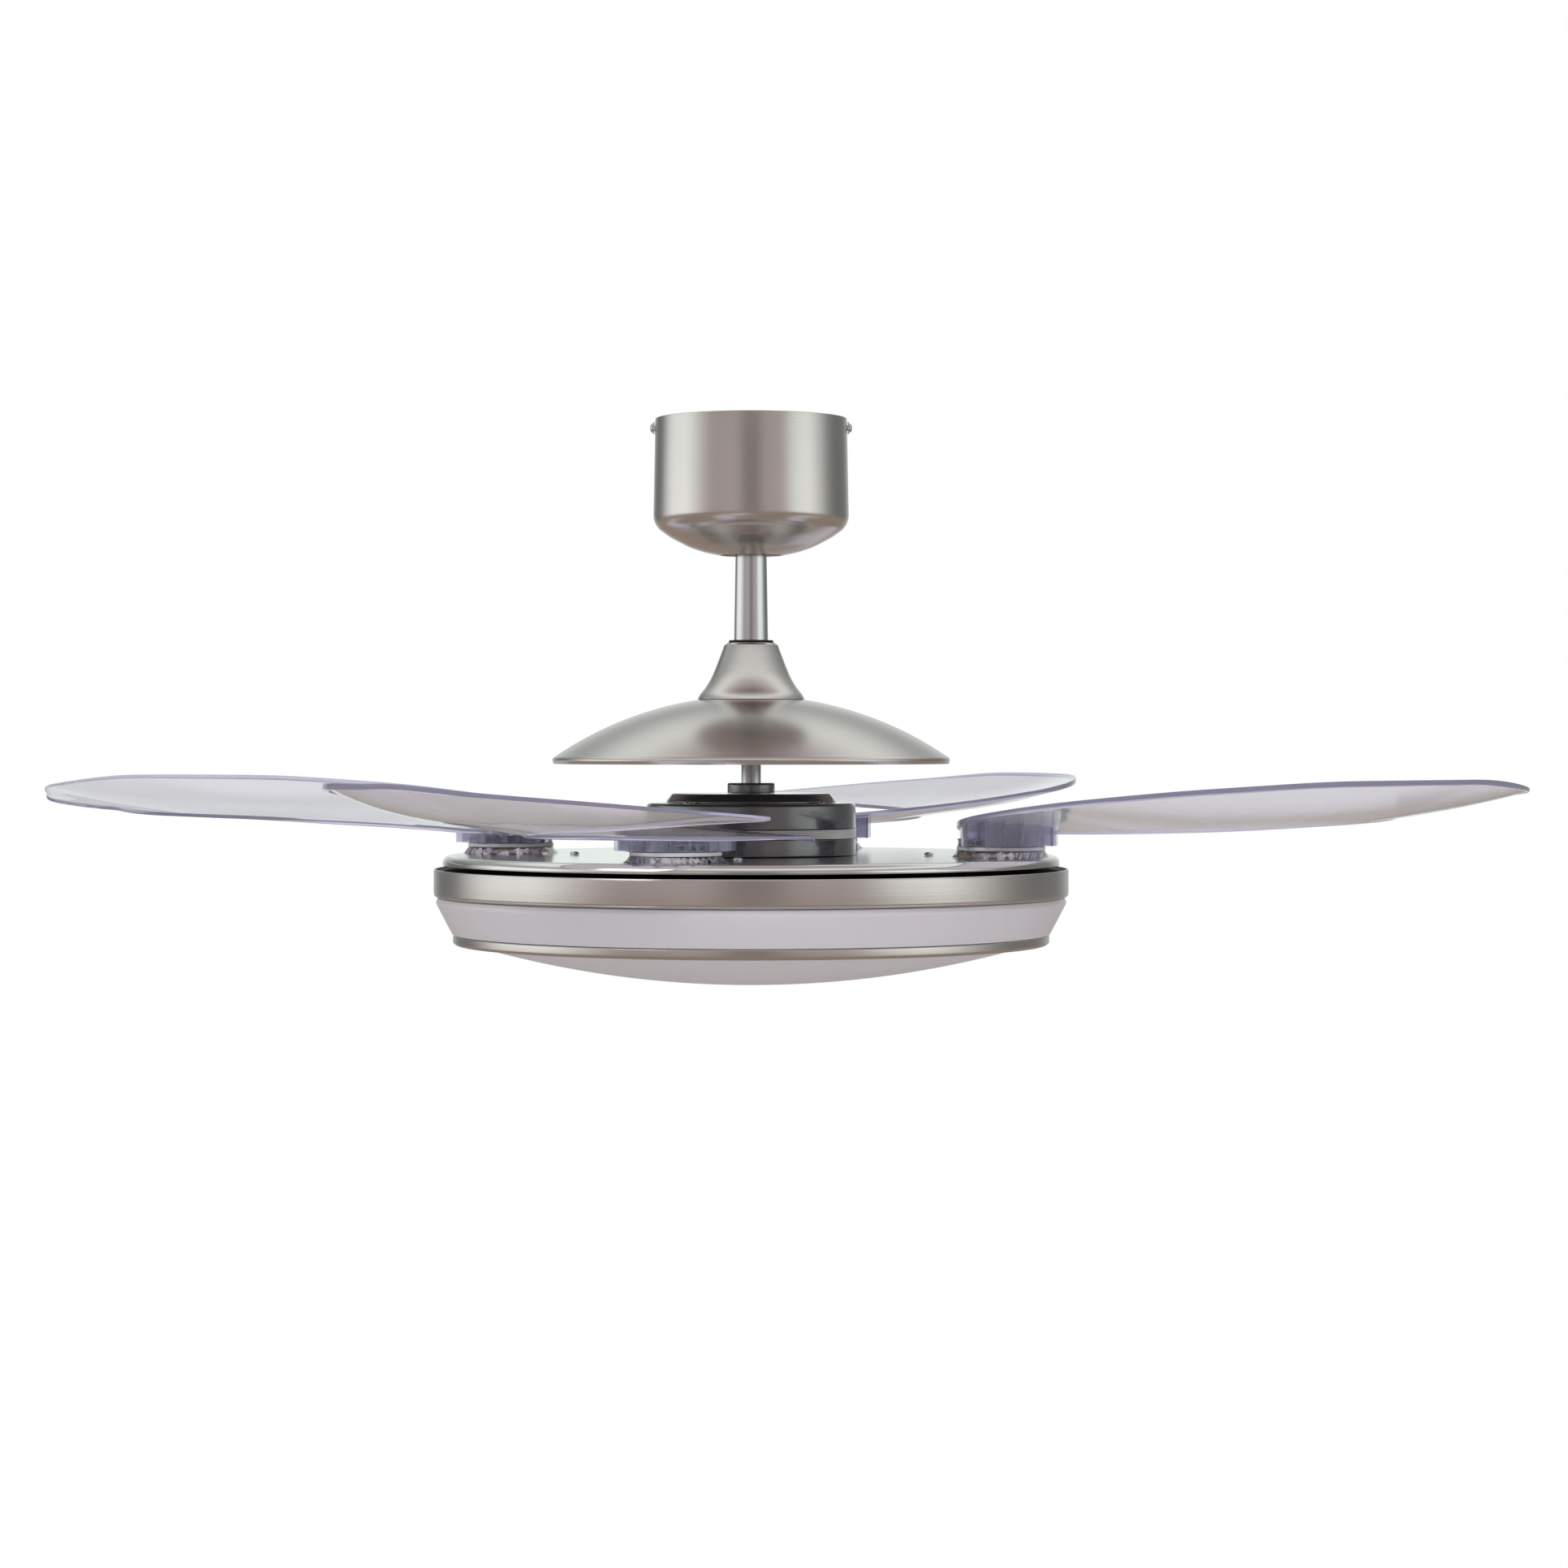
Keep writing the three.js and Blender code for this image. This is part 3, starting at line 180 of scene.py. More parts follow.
# Blade edge faces: a deeper purple, less clear copy of clear_moulding. This is painted shade standing in for the
# internal reflection along the thick edges seen edge-on.
CLEAR_EDGE_SHADE = material("clear_edge_painted_shade", (0.60, 0.57, 0.78), 0.12, Transmission_Weight=0.62, IOR=1.3, grain=90,
                      bump=0.01, spread=0.04)
# Blade root: a paler, whiter copy of clear_moulding. This is a painted highlight on the ribs and disc.
CLEAR_ROOT_HIGHLIGHT = material("clear_root_painted_highlight", (0.80, 0.79, 0.90), 0.08, Transmission_Weight=0.86, IOR=1.35, grain=90,
                      bump=0.02, spread=0.04)

CARRIED = {
    "hanger_bracket": ZINC, "ball_seat": WHITE_NYLON, "hanger_ball": GREY_NYLON, "ball_pin": STEEL,
    "shaft_coupler": ZINC, "coupler_pin": STEEL, "stator": WINDINGS, "light_pan": MATT_BLACK,
    "light_nut": STEEL, "light_board": BOARD_WHITE, "upper_bearing": STEEL, "lower_bearing": STEEL,
    "sync_ring": GREY_NYLON,
}
for k in BLADES:
    CARRIED[f"blade_gear_{k}"] = GREY_NYLON
    CARRIED[f"return_spring_{k}"] = STEEL
for name, finish in CARRIED.items():
    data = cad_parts[name].data
    data.materials.clear()
    data.materials.append(finish)

# ------------------------------------------------------------------ mesh tools


def piece(name, verts, faces, finish, body, slot, nodes=(), sharp=32, place=None, edging=None):
    """Adds a mesh given in mm; it rides on a body and stands for the CAD nodes named.

    edging is a second material and the test of a face's middle and normal, in mm, that gives it to the face; the
    blades use it for the painted shade on their edges."""
    mesh = bpy.data.meshes.new(name)
    mesh.from_pydata([tuple(MM * c for c in v) for v in verts], [], faces)
    work = bmesh.new()
    work.from_mesh(mesh)
    bmesh.ops.remove_doubles(work, verts=work.verts, dist=1e-6)
    bmesh.ops.recalc_face_normals(work, faces=work.faces)
    work.to_mesh(mesh)
    work.free()
    mesh.shade_smooth()
    mesh.set_sharp_from_angle(angle=math.radians(sharp))
    mesh.materials.append(finish)
    if edging:
        mesh.materials.append(edging[0])
        for face in mesh.polygons:
            face.material_index = int(edging[1](face.center / MM, face.normal))
    made = bpy.data.objects.new(name, mesh)
    SCENE.collection.objects.link(made)
    if place is not None:
        made.matrix_world = place
    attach(made, body)
    if nodes:
        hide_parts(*nodes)
    return made


def along(knots, position):
    """A smooth value through (position, value) knots that never overshoots between them."""
    last = len(knots) - 1

    def slope(i):
        return (knots[i + 1][1] - knots[i][1]) / (knots[i + 1][0] - knots[i][0])

    def tangent(i):
        if i in (0, last):
            return slope(min(i, last - 1))
        before, after = slope(i - 1), slope(i)
        return 0 if before * after <= 0 else 2 * before * after / (before + after)

    i = 0
    while i < last - 1 and knots[i + 1][0] <= position:
        i += 1
    width = knots[i + 1][0] - knots[i][0]
    t = (position - knots[i][0]) / width
    rest = 1 - t
    return (knots[i][1] * (1 + 2 * t) * rest * rest + tangent(i) * width * t * rest * rest
            + knots[i + 1][1] * t * t * (3 - 2 * t) - tangent(i + 1) * width * t * t * rest)


def rounded(corners, steps=5):
    """A closed outline of (r, z, fillet) corners with each corner rounded."""
    outline = []
    count = len(corners)
    for i, (r, z, fillet) in enumerate(corners):
        here = Vector((r, z))
        before = Vector(corners[i - 1][:2]) - here
        after = Vector(corners[(i + 1) % count][:2]) - here
        if fillet <= 0:
            outline.append((r, z))
            continue
        reach = min(fillet, before.length * 0.49, after.length * 0.49)
        start = here + before.normalized() * reach
        end = here + after.normalized() * reach
        for step in range(steps + 1):
            t = step / steps
            point = start * (1 - t) ** 2 + here * 2 * t * (1 - t) + end * t * t
            outline.append((point.x, point.y))
    return outline


def turned(name, outline, finish, body, slot, nodes=(), segments=192, lift=None, **more):
    """Turns a closed (r, z) outline in mm round the Z axis."""
    verts, faces = [], []
    count = len(outline)
    for j in range(segments):
        angle = TURN * j / segments
        c, s = math.cos(angle), math.sin(angle)
        for r, z in outline:
            x, y = r * c, r * s
            verts.append((x, y, z + (lift(x, y, z) if lift else 0)))
    for j in range(segments):
        k = (j + 1) % segments
        for i in range(count):
            n = (i + 1) % count
            if outline[i][0] == 0 and outline[n][0] == 0:
                continue
            faces.append((j * count + i, k * count + i, k * count + n, j * count + n))
    return piece(name, verts, faces, finish, body, slot, nodes, **more)


def polar(radius, degrees):
    angle = math.radians(degrees)
    return radius * math.cos(angle), radius * math.sin(angle)


def at(x, y, z, turn=0.0):
    return Matrix.Translation(Vector((x, y, z)) * MM) @ Matrix.Rotation(math.radians(turn), 4, "Z")


def loft(loops):
    """Skins closed loops of equal length and caps both ends."""
    count = len(loops[0])
    verts = [point for loop in loops for point in loop]
    faces = []
    for i in range(len(loops) - 1):
        for j in range(count):
            n = (j + 1) % count
            faces.append((i * count + j, (i + 1) * count + j, (i + 1) * count + n, i * count + n))
    faces.append(tuple(range(count)))
    faces.append(tuple((len(loops) - 1) * count + j for j in reversed(range(count))))
    return verts, faces


# ------------------------------------------------------------------ canopy and its screws

low, high, reach = span("canopy")
turned("canopy_shell", rounded([
    (76.5, high, 0.5), (78, -80.7, 5), (74.6, -87.6, 4), (64.2, -95, 5), (56.7, -98.9, 5), (49, -102.8, 5),
    (37.3, -106.7, 5), (24.3, low, 0.5), (24.3, low + 1.6, 0.4), (37, -105, 4), (48.4, -101.2, 4),
    (56, -97.4, 4), (63.4, -93.4, 4), (73.2, -86.4, 4), (76.4, -80.2, 4), (75, high, 0.3)]),
    NICKEL, "ceiling_mount", "nickel", ["canopy"])

HEAD_RADIUS = 3.8


def screw_head(name, finish, body, nodes, place, drop):
    """Pan head with a cross recess, its shank down -Z."""
    work = bmesh.new()
    profile = [(0, 2.3), (1.2, 2.25), (2.4, 1.95), (3.3, 1.35), (3.75, 0.7), (HEAD_RADIUS, 0.2),
               (3.6, 0), (2.2, 0), (2.2, -drop), (0, -drop)]
    rings = []
    for r, z in profile:
        ring = [work.verts.new((r * math.cos(TURN * i / 24) * MM, r * math.sin(TURN * i / 24) * MM, z * MM))
                for i in range(24)]
        rings.append(ring)
    for upper, lower in zip(rings, rings[1:]):
        for i in range(24):
            work.faces.new((upper[i], lower[i], lower[(i + 1) % 24], upper[(i + 1) % 24]))
    bmesh.ops.remove_doubles(work, verts=work.verts, dist=1e-7)
    bmesh.ops.recalc_face_normals(work, faces=work.faces)
    mesh = bpy.data.meshes.new(name)
    work.to_mesh(mesh)
    work.free()
    cross = bmesh.new()
    for long, short in ((4.2, 0.8), (0.8, 4.2)):
        box = bmesh.ops.create_cube(cross, size=MM)["verts"]
        bmesh.ops.scale(cross, verts=box, vec=(long, short, 2.4))
        bmesh.ops.translate(cross, verts=box, vec=(0, 0, 2.3 * MM))
    tool_mesh = bpy.data.meshes.new(name + "_tool")
    cross.to_mesh(tool_mesh)
    cross.free()
    made = bpy.data.objects.new(name, mesh)
    tool = bpy.data.objects.new(name + "_tool", tool_mesh)
    SCENE.collection.objects.link(made)
    SCENE.collection.objects.link(tool)
    cut = made.modifiers.new("cross", "BOOLEAN")
    cut.operation, cut.solver, cut.use_self, cut.object = "DIFFERENCE", "EXACT", True, tool
    solid = bpy.data.meshes.new_from_object(made.evaluated_get(bpy.context.evaluated_depsgraph_get()))
    made.modifiers.clear()
    made.data = solid
    bpy.data.objects.remove(tool)
    solid.shade_smooth()
    solid.set_sharp_from_angle(angle=math.radians(35))
    solid.materials.clear()
    solid.materials.append(finish)
    made.matrix_world = place
    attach(made, body)
    if nodes:
        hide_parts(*nodes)
    return made


for side, turn in (("left", 180), ("right", 0)):
    outward = Matrix.Rotation(math.radians(turn), 4, "Z")
    lie = Matrix.Rotation(math.radians(90), 4, "Y")
    drop = -7.5
    screw_head(f"canopy_pan_screw_{side}", STEEL, "ceiling_mount", [f"canopy_screw_{side}"],
               outward @ Matrix.Translation(Vector((78.35, 0, drop)) * MM) @ lie, 7)
    teeth, star = 10, []
    for i in range(2 * teeth):
        star.append(polar(HEAD_RADIUS + (0.2 if i % 2 else 1.2), 180 * i / teeth))
    hole = [polar(2.5, 180 * i / teeth) for i in range(2 * teeth)]
    verts, faces = [], []
    for z in (0, 0.8):
        verts += [(x, y, z + (0.15 if i % 2 else 0)) for i, (x, y) in enumerate(star)]
        verts += [(x, y, z) for x, y in hole]
    n = 2 * teeth
    for i in range(n):
        j = (i + 1) % n
        faces += [(i, j, n + j, n + i), (2 * n + i, 3 * n + i, 3 * n + j, 2 * n + j),
                  (i, 2 * n + i, 2 * n + j, j), (n + i, n + j, 3 * n + j, 3 * n + i)]
    piece(f"canopy_star_washer_{side}", verts, faces, STEEL, "ceiling_mount", "steel",
          [f"canopy_washer_{side}"], place=outward @ Matrix.Translation(Vector((77.2, 0, drop)) * MM) @ lie)

# ------------------------------------------------------------------ rod, cone, dome and shaft

low, high, reach = span("downrod")
turned("downrod_tube", rounded([(13.6, low, 0.5), (13.55, -177, 4), (12.45, -109, 4), (12.45, high, 0.5),
                                (9.95, high, 0.3), (9.95, low, 0.3)]),
       STEEL, "suspension", "nickel", ["downrod"], segments=96)

low, high, reach = span("rod_gasket")
turned("rod_gasket_ring", rounded([(13.9, low, 0.3), (reach, low, 0.7), (reach, high, 0.7), (13.9, high, 0.3)]),
       RUBBER, "suspension", "rubber", ["rod_gasket"], segments=96)

low, high, reach = span("cone_cover")
CONE = [(0, 20.9), (5, 22.6), (12, 25.2), (20, 28.3), (28, 31.8), (36, 36.6), (42.5, 41.6), (45.3, 42.7)]
cone = [(along(CONE, d), high - d) for d in np.linspace(0, high - low, 24)]
turned("cone_shell", rounded([(13.9, high - 0.2, 0.3), (cone[0][0] - 1.4, high, 0.8)]) + cone[1:]
       + [(r - 1.5, z) for r, z in reversed(cone[2:])] + [(13.9, high - 1.5)],
       NICKEL, "suspension", "nickel", ["cone_cover"], segments=128)

low, high, reach = span("dome_cover")
DOME_SPHERE = 276
apex = high + 0.55


def dome(radius, drop=0.0):
    return apex - drop - (DOME_SPHERE - math.sqrt(DOME_SPHERE ** 2 - radius ** 2))


outer = [(r, dome(r)) for r in np.linspace(17.6, 155.6, 40)]
edge = dome(155.6)
rim = [(157.2, edge - 0.95), (158.1, edge - 1.9), (158.5, edge - 3), (158.3, edge - 4.2),
       (157.6, low), (155.6, low), (155.1, low + 1.2), (155.6, edge - 3)]
inner = [(r, dome(r, 1.5)) for r in np.linspace(154.5, 17.6, 24)]
turned("dome_shell", outer + rim + inner, NICKEL, "suspension", "nickel", ["dome_cover"], segments=256)

low, high, reach = span("motor_shaft")
flange = span("light_pan")[1] + 0.3
turned("motor_shaft_tube", rounded([(5, low, 0.2), (7.8, low, 0.6), (7.8, flange, 0.4), (reach, flange, 0.3),
                                    (reach, flange + 1.5, 0.3), (7.8, flange + 1.5, 0.4), (7.8, high, 0.4),
                                    (5, high, 0.2)]),
       STEEL, "suspension", "steel", ["motor_shaft"], segments=64)

# ------------------------------------------------------------------ motor

low, high, reach = span("bearing_cap")
turned("bearing_cap_turned", rounded([(8.8, low, 0.3), (reach, low, 0.4), (reach, high, 1.7), (8.8, high, 0.6)]),
       GLOSS_BLACK, "rotor", "black_plastic", ["bearing_cap"], segments=96)
low, high, reach = span("motor_top_plate")
turned("motor_top_turned", rounded([(17.3, low, 0.3), (reach, low, 0.3), (reach, low + 1.2, 0.7),
                                    (reach - 4.6, high, 1.8), (17.3, high, 0.3)]),
       GLOSS_BLACK, "rotor", "black_plastic", ["motor_top_plate"])
low, high, reach = span("upper_housing")
turned("upper_housing_turned", rounded([
    (17.3, high, 0.3), (reach, high, 3.2), (reach, low, 0.5), (79.4, low, 0.3), (79.4, high - 4, 1),
    (21.3, high - 4, 0.5), (21.3, high - 8, 0.3), (17.3, high - 8, 0.3)]),
    GLOSS_BLACK, "rotor", "black_plastic", ["upper_housing"])
low, high, reach = span("rotor_core")
laminations = [(reach - (0.25 if i % 2 else 0), high - 0.4 - (high - low - 0.8) * i / 14) for i in range(15)]
core_section = [(59.4, high), (reach - 0.5, high), *laminations, (reach - 0.5, low), (59.4, low)]
# The lamination stack takes the brightened steel, which is a painted highlight.
turned("rotor_core_stack", core_section,
       LIT_CORE_STEEL, "rotor", "steel", ["rotor_core"])
low, high, reach = span("lower_housing")
turned("lower_housing_turned", rounded([
    (79.4, high, 0.3), (reach, high, 0.5), (reach, low + 0.8, 0.8), (reach - 0.8, low, 0.5), (17.3, low, 0.3),
    (17.3, low + 9, 0.3), (21.3, low + 9, 0.3), (21.3, low + 4, 0.3), (79.4, low + 4, 0.8)]),
    GLOSS_BLACK, "rotor", "black_plastic", ["lower_housing"])
step_top = span("upper_housing")[1]
for k in BLADES:
    x, y = polar(74.2, -42 + 90 * (k - 1))
    screw_head(f"motor_cover_screw_{k}", STEEL, "rotor", [],
               at(x, y, step_top + 0.15, 20 * k) @ Matrix.Scale(0.85, 4), 2.5)

# ------------------------------------------------------------------ spinning tray

low, high, reach = span("rotor_tray")
tray_top = high - BOSS_HEIGHT


def boss_lift(x, y, z):
    """Height that the pressed bosses add to the tray at a point."""
    if z < tray_top - 2.2:
        return 0
    nearest = min(math.hypot(x - px, y - py) for px, py in PIVOTS.values())
    t = min(1, max(0, (BOSS_RADIUS - nearest) / 3.2))
    return BOSS_HEIGHT * t * t * (3 - 2 * t)


corner = 6
flat = [(r, tray_top) for r in [9.8, 30, 60, 84, 120, 150, *np.linspace(162, reach - corner, 58)]]
round_edge = [(reach - corner + corner * math.sin(a), tray_top - corner + corner * math.cos(a))
              for a in np.linspace(0.2, math.pi / 2, 6)]
bead = [(reach, low + 1.3), (reach - 0.35, low + 0.9), (reach, low + 0.5), (reach - 0.2, low)]
wall = [(reach - 1.5, low), (reach - 1.5, tray_top - corner), (reach - 3.2, tray_top - 2.6)]
under = [(r, z - 1.5) for r, z in reversed(flat)]
turned("tray_pressing", flat + round_edge + bead + wall + under, TRAY_NICKEL, "rotor", "nickel", ["rotor_tray"],
       segments=360, lift=boss_lift, sharp=40)
for k in BLADES:
    x, y = centre(f"ring_guide_{k}")
    screw_head(f"tray_screw_{k}", STEEL, "rotor", [], at(x, y, tray_top + 0.3, 25 * k), 1.2)
    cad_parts[f"ring_guide_{k}"].data.materials.clear()
    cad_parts[f"ring_guide_{k}"].data.materials.append(STEEL)

# ------------------------------------------------------------------ blades


def edges(turn):
    """Inner and outer radius of the crescent."""
    return MOTOR_WALL + along(INNER_CLEARANCE, turn), TRAY_EDGE - along(OUTER_INSET, turn)


def blade_point(turn, share):
    """Point of the upper face in the blade's own frame: degrees round the crescent, share of its width."""
    inner, outer = edges(turn)
    foot, crest = along(INNER_RISE, turn), along(OUTER_RISE, turn)
    x, y = polar(inner + (outer - inner) * share, 180 + turn)
    z = foot + (crest - foot) * share ** along(SCOOP, turn) + along(CROWN, turn) * 4 * share * (1 - share)
    return Vector((PIVOT_DISTANCE + x, y, z))


SKIN, LIP_WIDTH = 2.2, 2.4
LIP_BEVEL, LIP_SOFTENING = 0.7, 0.5


def blade_skin(stations=150, columns=20):
    """The crescent's skin, thickened along both edges."""
    loops = []
    for i in range(stations + 1):
        turn = TAIL + (TIP - TAIL) * i / stations
        inner, outer = edges(turn)
        width = outer - inner
        lip, inner_lip = along(LIP, turn), along(INNER_LIP, turn)
        border = LIP_WIDTH / width
        shares = [border + (1 - 2 * border) * (1 - math.cos(math.pi * j / columns)) / 2
                  for j in range(columns + 1)]
        bevel = LIP_BEVEL / width
        top = [blade_point(turn, share) for share in (0, bevel, *shares, 1 - bevel, 1)]
        drops = [inner_lip - LIP_SOFTENING, inner_lip, *[SKIN] * len(shares), lip, lip - LIP_SOFTENING]
        drops[2], drops[-3] = max(SKIN, inner_lip - 0.6), max(SKIN, lip - 0.6)
        rises = [-LIP_SOFTENING, *[0] * (len(top) - 2), -LIP_SOFTENING]
        loop = [p + Vector((0, 0, rise)) for p, rise in zip(top, rises)]
        loop += [p - Vector((0, 0, drop)) for p, drop in zip(reversed(top), reversed(drops))]
        loops.append([tuple(p) for p in loop])
    return loft(loops)


def wall_between(low_points, high_points, thickness):
    """A thin upright wall between two lines of points."""
    loops = []
    for i, (a, b) in enumerate(zip(low_points, high_points)):
        ahead = Vector(low_points[min(i + 1, len(low_points) - 1)])
        back = Vector(low_points[max(i - 1, 0)])
        along_line = ahead - back
        along_line.z = 0
        side = Vector((-along_line.y, along_line.x, 0)).normalized() * thickness / 2
        a, b = Vector(a), Vector(b)
        loops.append([tuple(a - side), tuple(a + side), tuple(b + side), tuple(b - side)])
    return loft(loops)


def gather(parts):
    verts, faces = [], []
    for part_verts, part_faces in parts:
        start = len(verts)
        verts += part_verts
        faces += [tuple(start + i for i in face) for face in part_faces]
    return verts, faces


def rib(line, thickness=1.6):
    """A wall under the skin along a line of (degrees round the crescent, share of the width)."""
    high = [blade_point(*place) - Vector((0, 0, SKIN - 0.3)) for place in line]
    low = [Vector((p.x, p.y, min(p.z - 0.4, 0.4 + along(FOOT_RISE, place[0]))))
           for p, place in zip(high, line)]
    return wall_between(low, high, thickness)


ROOT_REACH = 46
RIB_STEP = 5


def near_root(points, thick=1.6):
    """The rib through the (turn, share) points that lie close to the pivot, if two or more do."""
    close = [p for p in points if blade_point(*p).xy.length < ROOT_REACH]
    return [rib(close, thick)] if len(close) > 1 else []


def blade_ribs():
    """Ribs across the root, spines along it and diagonals between them."""
    turns = list(range(TAIL + 3, RIBBED + 1, RIB_STEP))
    parts = []
    for turn in turns:
        parts += near_root([(turn, share) for share in np.linspace(0.02, 0.97, 40)])
    for share in (0.3, 0.45, 0.6, 0.72, 0.84, 0.965):
        parts += near_root([(turn, share) for turn in np.linspace(TAIL + 2, RIBBED, 30)])
    for i, turn in enumerate(turns[:-1]):
        start, end = (0.45, 0.72) if i % 2 else (0.72, 0.45)
        parts += near_root([(turn + RIB_STEP * t, start + (end - start) * t) for t in (0, 0.5, 1)], 1.2)
    return parts


def ring(inner, outer, bottom, top, segments=96):
    verts, faces = [], []
    outline = rounded([(inner, bottom, 0.3), (outer, bottom, 0.6), (outer, top, 0.6), (inner, top, 0.3)], 2)
    count = len(outline)
    for j in range(segments):
        for r, z in outline:
            verts.append((*polar(r, 360 * j / segments), z))
    for j in range(segments):
        k = (j + 1) % segments
        faces += [(j * count + i, k * count + i, k * count + (i + 1) % count, j * count + (i + 1) % count)
                  for i in range(count)]
    return verts, faces


def blade_disc():
    """Root disc: a rim of blocks and windows between two thin rings, spokes and a hub."""
    parts = [ring(31.4, DISC_RADIUS, 0, 1.5), ring(31.4, DISC_RADIUS, DISC_THICKNESS - 1.3, DISC_THICKNESS),
             ring(6.3, 12, 0, DISC_THICKNESS), ring(11.8, 31.6, 2.2, 3.6)]
    for i in range(24):
        wide = 4.2 if i % 3 else 7.4
        middle = 15 * i
        half = wide / 2
        corners = [polar(r, middle + a)
                   for r, a in ((31.5, -half), (33.9, -half), (33.9, half), (31.5, half))]
        parts.append(loft([[(x, y, z) for x, y in corners] for z in (1.4, DISC_THICKNESS - 1.2)]))
    for i in range(12):
        a, b = polar(11.5, 30 * i), polar(31.6, 30 * i)
        line = [(a[0] + (b[0] - a[0]) * t, a[1] + (b[1] - a[1]) * t) for t in (0, 1)]
        parts.append(wall_between([(x, y, 0.4) for x, y in line], [(x, y, 5.4) for x, y in line], 1.5))
    return parts


skin_mesh = blade_skin()
root_mesh = gather(blade_ribs() + blade_disc())
seat = span("blade_1")[0]


def on_edge(middle, normal):
    """Whether a face of a blade, in its own frame, lies on the lip, the inner edge, the tail or the tip."""
    x, y = middle.x - PIVOT_DISTANCE, middle.y
    turn = (math.degrees(math.atan2(y, x)) - 180 + 60) % 360 - 60
    inner, outer = edges(min(max(turn, TAIL), TIP))
    radius = math.hypot(x, y)
    return radius > outer - 0.5 or radius < inner + 0.5 or turn < TAIL + 0.2 or turn > TIP - 0.2


for k in BLADES:
    turn = 90 * (k - 1)
    x, y = PIVOTS[k]
    arm = f"blade_arm_{k}"
    # The skin's edge faces take the darker purple copy of the clear moulding as painted shade. The root takes
    # the paler copy as a painted highlight. Both are the same moulding as the skin.
    piece(f"blade_skin_{k}", *skin_mesh, CLEAR, arm, "clear_plastic", [f"blade_{k}"], sharp=45,
          place=at(x, y, seat, turn), edging=(CLEAR_EDGE_SHADE, on_edge))
    piece(f"blade_root_{k}", *root_mesh, CLEAR_ROOT_HIGHLIGHT, arm, "clear_plastic", [], sharp=35,
          place=at(x, y, seat, turn))
    low, high, _ = span(f"pivot_shaft_{k}")
    turned(f"pivot_pin_{k}", rounded([(0, low, 0), (6, low, 0.5), (6, high - 1.4, 0.2), (9, high - 1.4, 0.3),
                                      (9, high, 0.6), (3.2, high, 0.3), (3.2, high - 1, 0.2), (0, high - 1, 0)]),
           BRASS, arm, "brass", [f"pivot_shaft_{k}"], segments=48, place=at(x, y, 0))
    low, high, reach = span(f"pivot_bush_{k}")
    reach -= x
    turned(f"pivot_washer_{k}", rounded([(6.3, low, 0.2), (8.7, low, 0.3), (8.7, high - 3, 0.3),
                                         (reach, high - 3, 0.8), (reach, high, 0.8), (6.3, high, 0.3)]),
           WHITE_NYLON, "rotor", "white_nylon", [f"pivot_bush_{k}"], segments=96, place=at(x, y, 0))

# ------------------------------------------------------------------ light kit

low, high, reach = span("outer_ring")
turned("outer_ring_band", rounded([
    (reach - 1.5, high, 0.3), (reach - 0.3, high, 0.4), (reach, high - 1.4, 0.6), (reach, low + 2.4, 0.8),
    (reach - 0.7, low + 1.9, 0.3), (reach - 0.1, low + 1.2, 0.5), (reach - 1.6, low, 0.8),
    (reach - 7, low, 0.4), (reach - 7, low + 1.4, 0.3), (reach - 1.5, low + 1.5, 0.5)]),
    NICKEL, "suspension", "nickel", ["outer_ring"], segments=256)
low, high, reach = span("glass_band")
turned("glass_band_turned", rounded([
    (249, high, 1.2), (reach, high - 4.6, 1.6), (238, low, 0.6), (234, low, 0.4), (246.9, high - 5.5, 1),
    (245, high, 0.5)]),
    FROSTED, "suspension", "frosted_glass", ["glass_band"], segments=256)
low, high, reach = span("lower_ring")
turned("lower_ring_turned", rounded([
    (226.3, high, 0.3), (reach - 0.6, high, 0.3), (reach, high - 0.8, 0.3), (reach, low + 1.8, 0.6),
    (reach - 2.2, low, 1), (222.3, low, 0.5), (222.3, low + 1.5, 0.3), (226.3, low + 1.5, 0.3)]),
    NICKEL, "suspension", "nickel", ["lower_ring"], segments=256)
low, high, reach = span("glass_bowl")
BOWL_SPHERE = 790


def bowl(radius, lift=0.0):
    return low + lift + BOWL_SPHERE - math.sqrt(BOWL_SPHERE ** 2 - radius ** 2)


outside = [(r, bowl(r)) for r in np.linspace(0, 221.5, 40)]
inside = [(r, bowl(r, 3)) for r in np.linspace(221.5, 0, 24)]
bowl_flange = [(221.7, high - 3), (reach, high - 3), (reach, high), (221.7, high)]
turned("glass_bowl_turned", outside + bowl_flange + inside[1:],
       FROSTED, "suspension", "frosted_glass", ["glass_bowl"], segments=256)

# ------------------------------------------------------------------ floor, light and camera


def rays(tree, *kinds):
    """1 for the kinds of ray named, else 0."""
    path = tree.nodes.new("ShaderNodeLightPath")
    total = path.outputs[f"Is {kinds[0]} Ray"]
    for kind in kinds[1:]:
        larger = tree.nodes.new("ShaderNodeMath")
        larger.operation = "MAXIMUM"
        tree.links.new(total, larger.inputs[0])
        tree.links.new(path.outputs[f"Is {kind} Ray"], larger.inputs[1])
        total = larger.outputs[0]
    return total


def choose(tree, factor, first, second):
    """Mix of two shaders by a factor, a number or a socket."""
    mix = tree.nodes.new("ShaderNodeMixShader")
    if isinstance(factor, float):
        mix.inputs[0].default_value = factor
    else:
        tree.links.new(factor, mix.inputs[0])
    tree.links.new(first, mix.inputs[1])
    tree.links.new(second, mix.inputs[2])
    return mix.outputs[0]


